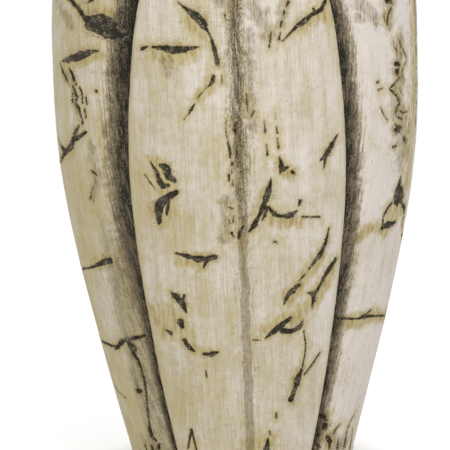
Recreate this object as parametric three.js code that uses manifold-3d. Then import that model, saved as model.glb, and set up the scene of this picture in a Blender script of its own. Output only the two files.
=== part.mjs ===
// Five-petal cachepot: a cast shell shaped like overlapping leaf sheaths, with a lift-out liner.
// Millimetres, +Z up. The origin is on the floor under the middle of the pot.
// Angles are in degrees from the front petal, which faces -Y, turning towards +X.
import * as THREE from "three";
import { mergeVertices } from "three/addons/utils/BufferGeometryUtils.js";
import Module from "manifold-3d";

const wasm = await Module();
wasm.setup();

const { degToRad, lerp, radToDeg, smoothstep } = THREE.MathUtils;

// Shell: outline from the foot to the lip
const HEIGHT = 500; // floor to the highest point of a petal
const PAD_HEIGHT = 4; // the pads hold the shell this far off the floor
const FOOT_RADIUS = 108;
const FOOT_TUCK = 3; // the foot's bottom edge is this much smaller
const FOOT_TOP = 16; // height where the upright foot turns into the flank
const BELLY_RADIUS = 174.5;
const BELLY_HEIGHT = 418;
const FLANK_LEAN = 0.2715; // outward lean of the flank where it leaves the foot
const FLANK_HOLD = 259.5; // the flank's curve handle at the foot
const BELLY_HOLD = 110.8; // the flank's curve handle at the belly
const SHOULDER_ARC = 380; // radius of the arc that leans the shoulder in

// Shell: petals
const LEAF_HALF_WIDTH = 39.3; // of an overlapping petal, at its widest
const LEAF_WIDEST = 160; // height of that place
const LEAF_TOP_NARROWING = 11.3; // half width lost from there to the lip
const LEAF_TOP_BEND = 2.2; // the power by which that sets in
const LEAF_FOOT_NARROWING = 3.7; // half width lost from there to the floor
const LEAF_FOOT_BEND = 3;
const CROWN = 0.045; // a petal's edges lie this share of the radius below its crest
const EDGE_STEP = 0.8; // width of the cliff at an overlapping edge
const EDGE_ROLL = 1.8; // an overlapping edge rounds over by this much
const EDGE_ROLL_WIDTH = 1.6;
const GROOVE = 0.07; // depth of a groove under an overlapping edge, as a share of the radius
const GROOVE_FLANK = 11; // width of the tucked-in petal's slope down to the groove
const MIDRIB_DEPTH = 3.2;
const MIDRIB_HALF_WIDTH = 2.3;
const MIDRIB_DRIFT = 2.3; // the midribs' turn from the lip to the floor
const TWIST = 1.5; // the petals' turn from the lip to the floor
const LIP_SCALLOP = 20; // the lip is this much lower between two petals
const LIP_ROUND = 5;
// A petal covers its neighbour on the left, on the right, on both sides or on neither,
// and its midrib may lie off its middle.
const FORMS = {
  front: { left: true, right: true, midrib: 0 },
  right: { left: false, right: false, midrib: 7 },
  backRight: { left: true, right: false, midrib: 0 },
  backLeft: { left: true, right: true, midrib: 0 },
  left: { left: false, right: false, midrib: -12 },
};
const PETAL_NAMES = Object.keys(FORMS);
const PETALS = PETAL_NAMES.length;
const PITCH = 360 / PETALS;

// Shell: the main gouges. A gouge's middle lies across from the petal's middle and at a height;
// its heading is its slope, upwards to the right.
const GOUGE_DEPTH = 2.6;
const FRONT_GOUGES = {
  hook: { across: -35, height: 432, length: 32, width: 7, heading: -44 },
  lens: { across: -55, height: 407, length: 46, width: 6, heading: 0 },
  stroke: { across: -76, height: 293, length: 28, width: 5, heading: -57 },
  patch: { across: -67, height: 296, length: 22, width: 6, heading: -43 },
  claw: { across: -68, height: 263, length: 38, width: 8, heading: 56 },
  bird: { across: -43, height: 221, length: 40, width: 5, heading: -4 },
  shard: { across: -59, height: 174, length: 24, width: 8, heading: -51 },
  diagonal: { across: 66, height: 428, length: 58, width: 4, heading: 36 },
  spear: { across: 88, height: 315, length: 30, width: 4, heading: 49 },
  stem: { across: 21, height: 267, length: 50, width: 5, heading: 68 },
  smile: { across: 40, height: 259, length: 32, width: 5, heading: -8 },
  sickle: { across: 77, height: 221, length: 46, width: 5, heading: 58 },
  barb: { across: 47, height: 180, length: 26, width: 5, heading: 49 },
  edge: { across: 82, height: 187, length: 54, width: 4, heading: 56 },
  brow: { across: 33, height: 149, length: 32, width: 4, heading: 36 },
  root: { across: 51, height: 93, length: 34, width: 6, heading: 68 },
};
const LEFT_GOUGES = {
  shoulder: { across: 40, height: 441, length: 50, width: 5, heading: -32 },
  crumbled: { across: 84, height: 424, length: 56, width: 12, heading: -19 },
  lens: { across: 46, height: 398, length: 60, width: 5, heading: 10 },
  fork: { across: 30, height: 322, length: 48, width: 4, heading: 35 },
  upperRing: { across: 36, height: 208, length: 48, width: 5, heading: 8 },
  lowerRing: { across: 44, height: 135, length: 52, width: 4, heading: 10 },
  split: { across: 52, height: 78, length: 90, width: 5, heading: 75 },
};
const RIGHT_GOUGES = {
  zigzag: { across: -38, height: 364, length: 60, width: 4, heading: -88 },
  spearhead: { across: -14, height: 274, length: 34, width: 6, heading: -60 },
  loop: { across: -26, height: 237, length: 38, width: 5, heading: 0 },
  ring: { across: -44, height: 139, length: 56, width: 4, heading: 8 },
};
// The wide gouges come again on the two petals at the back, mirrored and end over end.
const REPEATED_WIDTH = 5;
const END_OVER_END = 467; // the two heights of such a gouge add up to this

// Shell: inside, floor and foot
const WALL = 9;
const INNER_LOBE = 0.1; // the inside follows the petals by this share of the radius
const FLOOR_TOP = 22;
const FOOT_HOLLOW_RADIUS = 72;
const FOOT_HOLLOW_TOP = 10;
const DRAIN_RADIUS = 13;

// Ring that carries the liner, bonded inside the shell
const RING_TOP = 436;
const RING_BOTTOM = 430;
const RING_HOLE = 126;
const FIT_GAP = 0.3; // between pieces that touch

// Liner
const LINER_BOTTOM = 150;
const LINER_WALL = 2.5;
const LINER_TOP_RADIUS = 117;
const LINER_BOTTOM_RADIUS = 92;
const LINER_CORNER = 9;
const FLANGE_RADIUS = 134;
const FLANGE_THICK = 3;
const FLANGE_BEAD = 4;
const WALL_RIBS = 6;
const WALL_RIB = 3;
const SEAT_BARS = 6; // they hold a nursery pot above the run-off water
const SEAT_BAR = { inner: 18, outer: 74, width: 5, height: 6 };

// Pull-up grips of the liner
const GRIP = { inner: 110, outer: 126.5, halfAngle: 21, thick: 7, bevel: 1.4 }; // overhangs the mouth
const LEG = { inner: 120, outer: 123.2, halfAngle: 2.8, spread: 18, bottom: 354 };
const LEG_STOP = { halfAngle: 4.2, height: 6 };
const LEG_SLOT = { inner: 119.2, outer: 124, halfAngle: 3.4 };

// Drain plug and pads
const PLUG_CLEARANCE = 0.3;
const PLUG_TAPER = 0.8;
const PLUG_BOTTOM = 8;
const PLUG_HEAD = { radius: 20, thick: 5 };
const PLUG_KNOB = { waist: 6, radius: 9, height: 17 };
const PAD_RADIUS = 12;
const PAD_CIRCLE = 86;
const PAD_CHAMFER = 0.8;

// Facets
const HALF_PETAL_STATIONS = [0, 0.04, 0.13, 0.28, 0.46, 0.64, 0.82, 0.93, 1]; // edge to midrib
const FLANK_STEPS = 15;
const SHOULDER_STEPS = 5;
const INSIDE_STEPS = 8;
const LIP_STEPS = 4;
const GOUGE_STATIONS = [-1, -0.6, 0, 0.6, 1]; // end to end
const FACE_STEP = { turn: 2, rise: 4 }; // the petals' slopes are read this far to each side
const WELD = 1e-4; // points that lie closer than this are one
const ROUND = 64;
const SMALL_ROUND = 20;
const ARC_STEPS = 4;
const SECTOR_FACET = 3; // half angle covered by one facet of a flat ring's slice

const material = (color, roughness) =>
  new THREE.MeshStandardMaterial({ color, roughness, metalness: 0 });
const agedWhite = material(0xcbc3ac, 0.62);
const rawLaminate = material(0x6f6a5e, 0.85);
const blackPlastic = material(0x202124, 0.5);
const rubber = material(0x2b2927, 0.8);

// A point at an angle from the front petal
function polar(angle, radius, z) {
  const turn = degToRad(angle);
  return new THREE.Vector3(radius * Math.sin(turn), -radius * Math.cos(turn), z);
}

// A closed skin through rings with equal numbers of points, where the last ring joins the first
function loft(rings) {
  const columns = rings[0].length;
  const faces = [];
  rings.forEach((_, row) => {
    const here = row * columns;
    const next = ((row + 1) % rings.length) * columns;
    for (let a = 0; a < columns; a++) {
      const b = (a + 1) % columns;
      faces.push(here + a, next + b, next + a, here + a, here + b, next + b);
    }
  });
  return new THREE.BufferGeometry().setFromPoints(rings.flat()).setIndex(faces);
}

// A turned piece from an outline in radius and height
function turned(outline, segments) {
  return new THREE.LatheGeometry(outline.getPoints(ARC_STEPS), segments).rotateX(Math.PI / 2);
}

// A slice of a flat ring, centred on +X
function sector({ inner, outer, halfAngle }, bottom, top, bevel = 0) {
  const half = degToRad(halfAngle);
  const shape = new THREE.Shape();
  shape.absarc(0, 0, outer - bevel, -half, half, false);
  shape.absarc(0, 0, inner + bevel, half, -half, true);
  const slice = new THREE.ExtrudeGeometry(shape, {
    depth: top - bottom - 2 * bevel,
    curveSegments: Math.ceil(halfAngle / SECTOR_FACET),
    bevelEnabled: bevel > 0,
    bevelSize: bevel,
    bevelThickness: bevel,
    bevelSegments: 2,
  });
  return slice.translate(0, 0, bottom + bevel);
}

function toSolid(geometry) {
  const bare = geometry.clone();
  bare.deleteAttribute("normal");
  bare.deleteAttribute("uv");
  const merged = mergeVertices(bare, WELD);
  const vertProperties = merged.attributes.position.array;
  const triVerts = new Uint32Array(merged.index.array);
  return new wasm.Manifold(new wasm.Mesh({ numProp: 3, vertProperties, triVerts }));
}

function toGeometry(solid) {
  const { vertProperties, triVerts } = solid.getMesh();
  return new THREE.BufferGeometry()
    .setAttribute("position", new THREE.BufferAttribute(vertProperties, 3))
    .setIndex(new THREE.BufferAttribute(triVerts, 1));
}

const join = (...pieces) => pieces.map(toSolid).reduce((all, piece) => all.add(piece));

function named(name, geometry, finish) {
  const mesh = new THREE.Mesh(geometry, finish);
  mesh.name = name;
  return mesh;
}

// The flank leaves the foot with a lean and reaches the belly upright.
const flank = new THREE.CubicBezierCurve(
  new THREE.Vector2(FOOT_RADIUS, FOOT_TOP),
  new THREE.Vector2(FOOT_RADIUS + FLANK_LEAN * FLANK_HOLD, FOOT_TOP + FLANK_HOLD),
  new THREE.Vector2(BELLY_RADIUS, BELLY_HEIGHT - BELLY_HOLD),
  new THREE.Vector2(BELLY_RADIUS, BELLY_HEIGHT),
);
const flankPoints = flank.getPoints(200);

// Radius of the petals' crests at a height
function crestRadius(z) {
  if (z >= BELLY_HEIGHT) {
    const rise = z - BELLY_HEIGHT;
    return BELLY_RADIUS - SHOULDER_ARC + Math.sqrt(SHOULDER_ARC ** 2 - rise ** 2);
  }
  if (z <= FOOT_TOP) {
    return FOOT_RADIUS - FOOT_TUCK * (1 - (z - PAD_HEIGHT) / (FOOT_TOP - PAD_HEIGHT)) ** 2;
  }
  const above = flankPoints.findIndex((point) => point.y >= z);
  const [low, high] = [flankPoints[above - 1], flankPoints[above]];
  return lerp(low.x, high.x, (z - low.y) / (high.y - low.y));
}

const belowLip = (z) => (1 - z / HEIGHT) ** 2;
const twist = (z) => TWIST * belowLip(z);
const lobes = (angle) => (1 - Math.cos(degToRad(PETALS * angle))) / 2; // 0 at a crest, 1 between petals
const lipHeight = (angle) => HEIGHT - LIP_ROUND - LIP_SCALLOP * lobes(angle);

// An overlapping petal is widest low down and narrows towards the lip, as a leaf does.
function leafHalfWidth(z) {
  if (z > LEAF_WIDEST) {
    const rise = (z - LEAF_WIDEST) / (HEIGHT - LEAF_WIDEST);
    return LEAF_HALF_WIDTH - LEAF_TOP_NARROWING * rise ** LEAF_TOP_BEND;
  }
  const fall = (LEAF_WIDEST - z) / LEAF_WIDEST;
  return LEAF_HALF_WIDTH - LEAF_FOOT_NARROWING * fall ** LEAF_FOOT_BEND;
}

// Where a petal's middle, its midrib and its two edges lie at a height
function petalSpan(name, z) {
  const centre = PETAL_NAMES.indexOf(name) * PITCH + twist(z);
  const half = leafHalfWidth(z);
  const tucked = PITCH - half - EDGE_STEP;
  const form = FORMS[name];
  return {
    centre,
    midrib: centre + form.midrib + MIDRIB_DRIFT * belowLip(z),
    left: centre - (form.left ? half : tucked),
    right: centre + (form.right ? half : tucked),
  };
}

// How far the edge at a distance draws the petal in: a rounded edge, or a slope into the groove
function edgeDrop(covers, distance, z) {
  if (covers) {
    return EDGE_ROLL * (1 - smoothstep(distance, 0, EDGE_ROLL_WIDTH));
  }
  return GROOVE * crestRadius(z) * (1 - smoothstep(distance, 0, GROOVE_FLANK));
}

function petalRadius(name, span, angle, z) {
  const crown = CROWN * ((angle - span.centre) / (PITCH / 2)) ** 2;
  const midrib = MIDRIB_DEPTH * Math.exp(-(((angle - span.midrib) / MIDRIB_HALF_WIDTH) ** 2));
  const left = edgeDrop(FORMS[name].left, angle - span.left, z);
  const right = edgeDrop(FORMS[name].right, span.right - angle, z);
  return crestRadius(z) * (1 - crown) - midrib - left - right;
}

// The columns of one ring: each petal's stations from its left edge to its right edge
function petalColumns(z) {
  return PETAL_NAMES.flatMap((name) => {
    const span = petalSpan(name, z);
    const leftHalf = HALF_PETAL_STATIONS.map((share) => lerp(span.left, span.midrib, share));
    const rightHalf = HALF_PETAL_STATIONS.map((share) => lerp(span.right, span.midrib, share));
    const angles = [...leftHalf, ...rightHalf.slice(0, -1).reverse()];
    return angles.map((angle) => ({ name, span, angle }));
  });
}

function outsideRing(z, heightAt = () => z) {
  return petalColumns(z).map(({ name, span, angle }) => {
    const height = heightAt(angle);
    return polar(angle, petalRadius(name, span, angle, height), height);
  });
}

const innerRadius = (angle, z) =>
  crestRadius(z) * (1 - INNER_LOBE * lobes(angle - twist(z))) - WALL;

function insideRing(z, heightAt = () => z) {
  return petalColumns(z).map(({ angle }) => {
    const height = heightAt(angle);
    return polar(angle, innerRadius(angle, height), height);
  });
}

const roundRing = (radius, z) =>
  petalColumns(PAD_HEIGHT).map(({ angle }) => polar(angle, radius, z));

// The lip rounds over from the outer edge to the inner edge.
function lipRing(outer, inner, share) {
  const turn = Math.PI * share;
  return outer.map((edge, column) => {
    const point = edge.clone().lerp(inner[column], (1 - Math.cos(turn)) / 2);
    return point.setZ(lerp(edge.z, inner[column].z, share) + LIP_ROUND * Math.sin(turn));
  });
}

// Axes on a petal's face: to its right, upwards and outwards, at an angle from its middle
function faceFrame(name, angle, z) {
  const at = (aside, above) => {
    const span = petalSpan(name, z + above);
    const place = span.centre + angle + aside;
    return polar(place, petalRadius(name, span, place, z + above), z + above);
  };
  const { turn, rise } = FACE_STEP;
  const right = at(turn, 0).sub(at(-turn, 0)).normalize();
  const lean = at(0, rise).sub(at(0, -rise));
  const out = right.clone().cross(lean).normalize();
  const up = out.clone().cross(right);
  return new THREE.Matrix4().makeBasis(right, up, out).setPosition(at(0, 0));
}

// The cutter of a gouge follows the face; the gouge is V-shaped across and pointed at its ends.
function gougeCutter(name, { across, height, length, width, heading }) {
  const slope = degToRad(heading);
  const rings = GOUGE_STATIONS.map((station) => {
    const along = (station * length) / 2;
    const z = height + along * Math.sin(slope);
    const angle = radToDeg((across + along * Math.cos(slope)) / crestRadius(z));
    const face = faceFrame(name, angle, z);
    const swell = 1 - station ** 2;
    const half = (swell * width) / 2;
    const side = new THREE.Vector3(-Math.sin(slope), Math.cos(slope), 0).multiplyScalar(half);
    const out = new THREE.Vector3(0, 0, GOUGE_DEPTH * swell);
    const corners = [side, out, side.clone().negate(), out.clone().negate()];
    return corners.map((corner) => corner.applyMatrix4(face));
  });
  return loft(rings);
}

function gougeCutters() {
  const on = (name, gouges) => gouges.map((gouge) => gougeCutter(name, gouge));
  const front = Object.values(FRONT_GOUGES);
  const wide = front.filter(({ width }) => width >= REPEATED_WIDTH);
  const mirrored = wide.map((gouge) => ({
    ...gouge,
    across: -gouge.across,
    heading: -gouge.heading,
  }));
  const turnedOver = wide.map((gouge) => {
    const height = END_OVER_END - gouge.height;
    const across = (-gouge.across * crestRadius(height)) / crestRadius(gouge.height);
    return { ...gouge, across, height };
  });
  return [
    ...on("front", front),
    ...on("right", Object.values(RIGHT_GOUGES)),
    ...on("backRight", turnedOver),
    ...on("backLeft", mirrored),
    ...on("left", Object.values(LEFT_GOUGES)),
  ];
}

function shellGeometry() {
  const steps = (count) => Array.from({ length: count }, (_, i) => (i + 1) / count);
  const towardsLip = (share) => (angle) => lerp(BELLY_HEIGHT, lipHeight(angle), share);

  const outside = [outsideRing(PAD_HEIGHT), outsideRing(FOOT_TOP)];
  for (const share of steps(FLANK_STEPS)) {
    outside.push(outsideRing(flank.getPoint(share).y));
  }
  for (const share of steps(SHOULDER_STEPS)) {
    outside.push(outsideRing(lerp(BELLY_HEIGHT, HEIGHT, share), towardsLip(share)));
  }
  const inside = [insideRing(HEIGHT, towardsLip(1)), insideRing(RING_TOP), insideRing(RING_BOTTOM)];
  for (const share of steps(INSIDE_STEPS)) {
    inside.push(insideRing(lerp(RING_BOTTOM, FLOOR_TOP, share)));
  }
  const lip = steps(LIP_STEPS)
    .slice(0, -1)
    .map((share) => lipRing(outside.at(-1), inside[0], share));
  const drain = [roundRing(DRAIN_RADIUS, FLOOR_TOP), roundRing(DRAIN_RADIUS, FOOT_HOLLOW_TOP)];
  const foot = [
    roundRing(FOOT_HOLLOW_RADIUS, FOOT_HOLLOW_TOP),
    roundRing(FOOT_HOLLOW_RADIUS, PAD_HEIGHT),
  ];
  const body = toSolid(loft([...drain, ...foot, ...outside, ...lip, ...inside]));
  return toGeometry(gougeCutters().reduce((left, cutter) => left.subtract(toSolid(cutter)), body));
}

// The ring fits the lobed inside of the shell and has a round hole for the liner.
function ringGeometry() {
  const edge = (z) =>
    petalColumns(z).map(({ angle }) => polar(angle, innerRadius(angle, z) - FIT_GAP, z));
  const hole = (z) => petalColumns(z).map(({ angle }) => polar(angle, RING_HOLE, z));
  return loft([hole(RING_BOTTOM), edge(RING_BOTTOM), edge(RING_TOP), hole(RING_TOP)]);
}

function linerVessel() {
  const top = RING_TOP + FIT_GAP;
  const inside = { bottom: LINER_BOTTOM_RADIUS - LINER_WALL, top: LINER_TOP_RADIUS - LINER_WALL };
  const floor = LINER_BOTTOM + LINER_WALL;
  const outline = new THREE.Path();
  outline.moveTo(0, LINER_BOTTOM);
  outline.lineTo(LINER_BOTTOM_RADIUS - LINER_CORNER, LINER_BOTTOM);
  outline.quadraticCurveTo(
    LINER_BOTTOM_RADIUS, LINER_BOTTOM,
    LINER_BOTTOM_RADIUS, LINER_BOTTOM + LINER_CORNER,
  );
  outline.lineTo(LINER_TOP_RADIUS, top);
  outline.lineTo(FLANGE_RADIUS, top);
  outline.lineTo(FLANGE_RADIUS, top + FLANGE_THICK + FLANGE_BEAD);
  outline.lineTo(FLANGE_RADIUS - FLANGE_THICK, top + FLANGE_THICK + FLANGE_BEAD);
  outline.lineTo(FLANGE_RADIUS - FLANGE_THICK, top + FLANGE_THICK);
  outline.lineTo(inside.top, top + FLANGE_THICK);
  outline.lineTo(inside.bottom, floor + LINER_CORNER);
  outline.quadraticCurveTo(inside.bottom, floor, inside.bottom - LINER_CORNER, floor);
  outline.lineTo(0, floor);
  return turned(outline, ROUND);
}

// An upright rib that follows the liner's slope on the outside
function wallRib() {
  const low = LINER_BOTTOM + 2 * LINER_CORNER;
  const high = RING_TOP - 4 * WALL_RIB;
  const wallAt = (z) =>
    lerp(LINER_BOTTOM_RADIUS, LINER_TOP_RADIUS, (z - LINER_BOTTOM) / (RING_TOP - LINER_BOTTOM));
  const shape = new THREE.Shape();
  shape.moveTo(wallAt(low) - LINER_WALL / 2, low);
  shape.lineTo(wallAt(low) + WALL_RIB, low + WALL_RIB);
  shape.lineTo(wallAt(high) + WALL_RIB, high - WALL_RIB);
  shape.lineTo(wallAt(high) - LINER_WALL / 2, high);
  const rib = new THREE.ExtrudeGeometry(shape, { depth: WALL_RIB, bevelEnabled: false });
  return rib.translate(0, 0, -WALL_RIB / 2).rotateX(Math.PI / 2);
}

function seatBar() {
  const { inner, outer, width, height } = SEAT_BAR;
  const floor = LINER_BOTTOM + LINER_WALL / 2;
  const tall = LINER_WALL / 2 + height;
  const bar = new THREE.BoxGeometry(outer - inner, width, tall);
  return bar.translate((inner + outer) / 2, 0, floor + tall / 2);
}

function linerGeometry() {
  const around = (count, make) =>
    Array.from({ length: count }, (_, i) => make().rotateZ((2 * Math.PI * (i + 0.5)) / count));
  let body = join(linerVessel(), ...around(WALL_RIBS, wallRib), ...around(SEAT_BARS, seatBar));
  for (const side of [0, Math.PI]) {
    for (const spread of [-LEG.spread, LEG.spread]) {
      const slot = sector(LEG_SLOT, RING_TOP - FLANGE_THICK, RING_TOP + 3 * FLANGE_THICK);
      body = body.subtract(toSolid(slot.rotateZ(side + degToRad(spread))));
    }
  }
  return toGeometry(body);
}

// A curved grip lies on the liner's flange, and its two legs slide in the flange's slots.
function gripGeometry() {
  const seat = RING_TOP + FIT_GAP + FLANGE_THICK + FIT_GAP;
  const parts = [sector(GRIP, seat, seat + GRIP.thick, GRIP.bevel)];
  for (const spread of [-LEG.spread, LEG.spread]) {
    const turn = degToRad(spread);
    const stop = { ...LEG, halfAngle: LEG_STOP.halfAngle };
    parts.push(sector(LEG, LEG.bottom, seat + GRIP.thick / 2).rotateZ(turn));
    parts.push(sector(stop, LEG.bottom, LEG.bottom + LEG_STOP.height).rotateZ(turn));
  }
  return toGeometry(join(...parts));
}

// A rubber bung: tapered shank, wide head on the floor, and a waisted knob to pull it by
function plugGeometry() {
  const shank = DRAIN_RADIUS - PLUG_CLEARANCE;
  const seat = FLOOR_TOP + FIT_GAP;
  const crown = seat + PLUG_HEAD.thick;
  const { waist, radius, height } = PLUG_KNOB;
  const tip = crown + height;
  const outline = new THREE.Path();
  outline.moveTo(0, PLUG_BOTTOM);
  outline.lineTo(shank - PLUG_TAPER, PLUG_BOTTOM);
  outline.lineTo(shank, seat);
  outline.lineTo(PLUG_HEAD.radius, seat);
  outline.lineTo(PLUG_HEAD.radius, seat + PLUG_HEAD.thick / 2);
  outline.quadraticCurveTo(PLUG_HEAD.radius, crown, waist, crown);
  outline.lineTo(waist, tip - radius);
  outline.quadraticCurveTo(radius, tip - radius, radius, tip - waist);
  outline.quadraticCurveTo(radius, tip, 0, tip);
  return turned(outline, SMALL_ROUND);
}

function padGeometry() {
  const outline = new THREE.Path();
  outline.moveTo(0, 0);
  outline.lineTo(PAD_RADIUS - PAD_CHAMFER, 0);
  outline.lineTo(PAD_RADIUS, PAD_CHAMFER);
  outline.lineTo(PAD_RADIUS, PAD_HEIGHT);
  outline.lineTo(0, PAD_HEIGHT);
  return turned(outline, SMALL_ROUND);
}

const cachepot = new THREE.Group();
cachepot.add(named("shell", shellGeometry(), agedWhite));
cachepot.add(named("liner_ring", ringGeometry(), rawLaminate));
cachepot.add(named("drain_plug", plugGeometry(), rubber));
for (let index = 0; index < PETALS; index++) {
  const pad = named(`foot_pad_${index + 1}`, padGeometry(), rubber);
  pad.position.copy(polar(index * PITCH + twist(0), PAD_CIRCLE, 0));
  cachepot.add(pad);
}

const insert = new THREE.Group();
insert.add(named("liner", linerGeometry(), blackPlastic));
const rightGrip = named("grip_right", gripGeometry(), blackPlastic);
const leftGrip = named("grip_left", gripGeometry(), blackPlastic);
leftGrip.rotation.z = Math.PI;
insert.add(rightGrip, leftGrip);
cachepot.add(insert);

export default cachepot;
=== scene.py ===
"""Builds the looks of a tall five-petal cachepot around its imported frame, in metres."""
import math
import random

import bmesh
import bpy
import numpy as np
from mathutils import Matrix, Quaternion, Vector


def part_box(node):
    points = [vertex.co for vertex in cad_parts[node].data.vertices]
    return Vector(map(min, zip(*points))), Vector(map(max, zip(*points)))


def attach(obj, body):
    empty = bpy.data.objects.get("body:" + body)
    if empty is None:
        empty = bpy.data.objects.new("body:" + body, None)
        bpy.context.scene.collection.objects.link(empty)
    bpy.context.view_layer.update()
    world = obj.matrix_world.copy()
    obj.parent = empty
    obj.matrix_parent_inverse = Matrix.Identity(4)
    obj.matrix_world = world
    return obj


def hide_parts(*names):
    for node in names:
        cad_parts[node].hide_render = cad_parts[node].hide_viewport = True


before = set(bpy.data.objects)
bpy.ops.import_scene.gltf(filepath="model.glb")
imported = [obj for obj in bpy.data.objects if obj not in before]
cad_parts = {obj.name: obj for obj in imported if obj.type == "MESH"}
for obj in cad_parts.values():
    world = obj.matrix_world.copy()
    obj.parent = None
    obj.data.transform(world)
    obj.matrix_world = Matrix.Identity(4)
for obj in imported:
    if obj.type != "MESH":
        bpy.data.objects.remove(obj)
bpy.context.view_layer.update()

bl_info = {
    "name": "Petal Cachepot",
    "version": (1, 0, 0),
    "blender": (4, 5, 0),
    "location": "View3D > Sidebar > Cachepot",
    "description": "Weathered petal cachepot with its liner, and a plain stage to show it on",
    "category": "Add Mesh",
}

MM = 0.001
SHELL_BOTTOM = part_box("shell")[0].z
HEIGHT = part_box("shell")[1].z
PHOTO_SIZE = 450  # pixels across and down the picture

# Petals in turn from the front, towards the right: name, whether it covers its left and its right
# neighbour, how many degrees its midrib lies off its middle, and the width of the wash and painted shade in
# its grooves
PETALS = (
    ("front", True, True, 0, 28 * MM),
    ("right", False, False, 7, 25 * MM),
    ("back_right", True, False, 0, 28 * MM),
    ("back_left", True, True, 0, 28 * MM),
    ("left", False, False, -12, 33 * MM),
)
PITCH = 2 * math.pi / len(PETALS)

# A petal's mesh: cells across and along its face, rows over its edges, and cells to one cell of its back
ACROSS = 192
ALONG = 432
EDGE_ROWS = 8
BACK_STRIDE = 8
OUTLINE_STEPS = 64  # between two knots of the outline
ROUND_STEPS = 128  # round the floor
LIP_ROW = 0.9999  # only the blank's last row lies beyond this share of its length
BACK_DEPTH = 0.8  # the coat of the inside begins at this share of the wall
SEED_STEP = 3.7  # from petal to petal, so that no two have the same grain

# Powers by which a petal narrows to the lip and to the foot, and by which it twists on its way down
TOP_POWER = 2.2
FOOT_POWER = 3.0
TWIST_POWER = 2.0

# How far apart points are put along a gouge and along a stain
MARK_STEP = 0.4 * MM
STAIN_STEP = 2 * MM

# A pixel's ray is followed to this share of the crest's radius, and its height is found in so many rounds
FACE_SHARE = 0.985
CAST_ROUNDS = 12

# Fittings: width of their rounded edges, and the gap within which corners are merged
EDGE_ROUND = 0.4 * MM
MERGE_GAP = 0.01 * MM

# Angles between faces: up to which they are one plane, from which a fitting's edge is sharp and is rounded,
# and from which a petal's edge is sharp
PLANE_ANGLE = math.radians(0.5)
SHARP_ANGLE = math.radians(32)
ROUNDED_ANGLE = math.radians(40)
PETAL_SHARP_ANGLE = math.radians(60)

# Stage: lengths in metres, and the strength of the floor's glow
KEY_PLACE = Vector((1.3, -2.2, 1.5))
FILL_PLACE = Vector((-1.8, -2.0, 1.0))
LAMP_AIM = Vector((0, 0, 0.25))
LAMP_SIZE = 1.8
FLOOR_REACH = 40
VIEW_REACH = 200
FOOT_SHADE = 0.05  # how far the painted shadow round the foot darkens the floor's glow
FLOOR_GLOW = 0.5


# Settings that a user would change


def srgb(red, green, blue):
    """A colour as a picture shows it, from 0 to 255, in Blender's linear values."""
    levels = [value / 255 for value in (red, green, blue)]
    return [level / 12.92 if level <= 0.04045 else ((level + 0.055) / 1.055) ** 2.4 for level in levels]


def length(name, description, default):
    """A setting in metres."""
    return bpy.props.FloatProperty(
        name=name, description=description, default=default, unit="LENGTH", precision=4
    )


def angle(name, description, default):
    """A setting that is given here in degrees and kept in radians."""
    return bpy.props.FloatProperty(
        name=name, description=description, default=math.radians(default), subtype="ANGLE"
    )


def share(name, description, default):
    """A setting without a unit."""
    return bpy.props.FloatProperty(
        name=name, description=description, default=default, subtype="FACTOR"
    )


def colour(name, description, default):
    """A setting of linear red, green and blue."""
    return bpy.props.FloatVectorProperty(
        name=name, description=description, default=default, subtype="COLOR", min=0, max=1
    )


class OutlineSizes(bpy.types.PropertyGroup):
    """The pot's outline from the foot to the lip."""

    foot_radius: length("Foot radius", "Crest radius where the foot meets the flank", 108 * MM)
    foot_tuck: length("Foot tuck", "How much smaller the foot's bottom edge is", 3 * MM)
    foot_top: length("Foot top", "Height where the upright foot turns into the flank", 16 * MM)
    belly_radius: length("Belly radius", "Crest radius at the widest place", 174.5 * MM)
    belly_height: length("Belly height", "Height of the widest place", 418 * MM)
    flank_lean: share("Flank lean", "Outward lean of the flank where it leaves the foot", 0.2715)
    flank_hold: length("Flank hold", "Curve handle of the flank at the foot", 259.5 * MM)
    belly_hold: length("Belly hold", "Curve handle of the flank at the belly", 110.8 * MM)
    shoulder_arc: length("Shoulder arc", "Radius of the arc that leans the shoulder in", 380 * MM)
    lip_round: length("Lip round", "Height of the rounded lip", 5 * MM)
    lip_scallop: length("Lip scallop", "How much lower the lip is between petals", 20 * MM)
    wall: length("Wall", "Thickness of the wall at a crest", 9 * MM)


class FloorSizes(bpy.types.PropertyGroup):
    """The shell's floor, its drain hole and the hollow beneath it."""

    top: length("Top", "Height of the floor inside", 22 * MM)
    hollow_radius: length("Hollow radius", "Radius of the hollow under the foot", 72 * MM)
    hollow_top: length("Hollow top", "Height of the hollow under the foot", 10 * MM)
    drain_radius: length("Drain radius", "Radius of the hole in the floor", 13 * MM)


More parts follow.
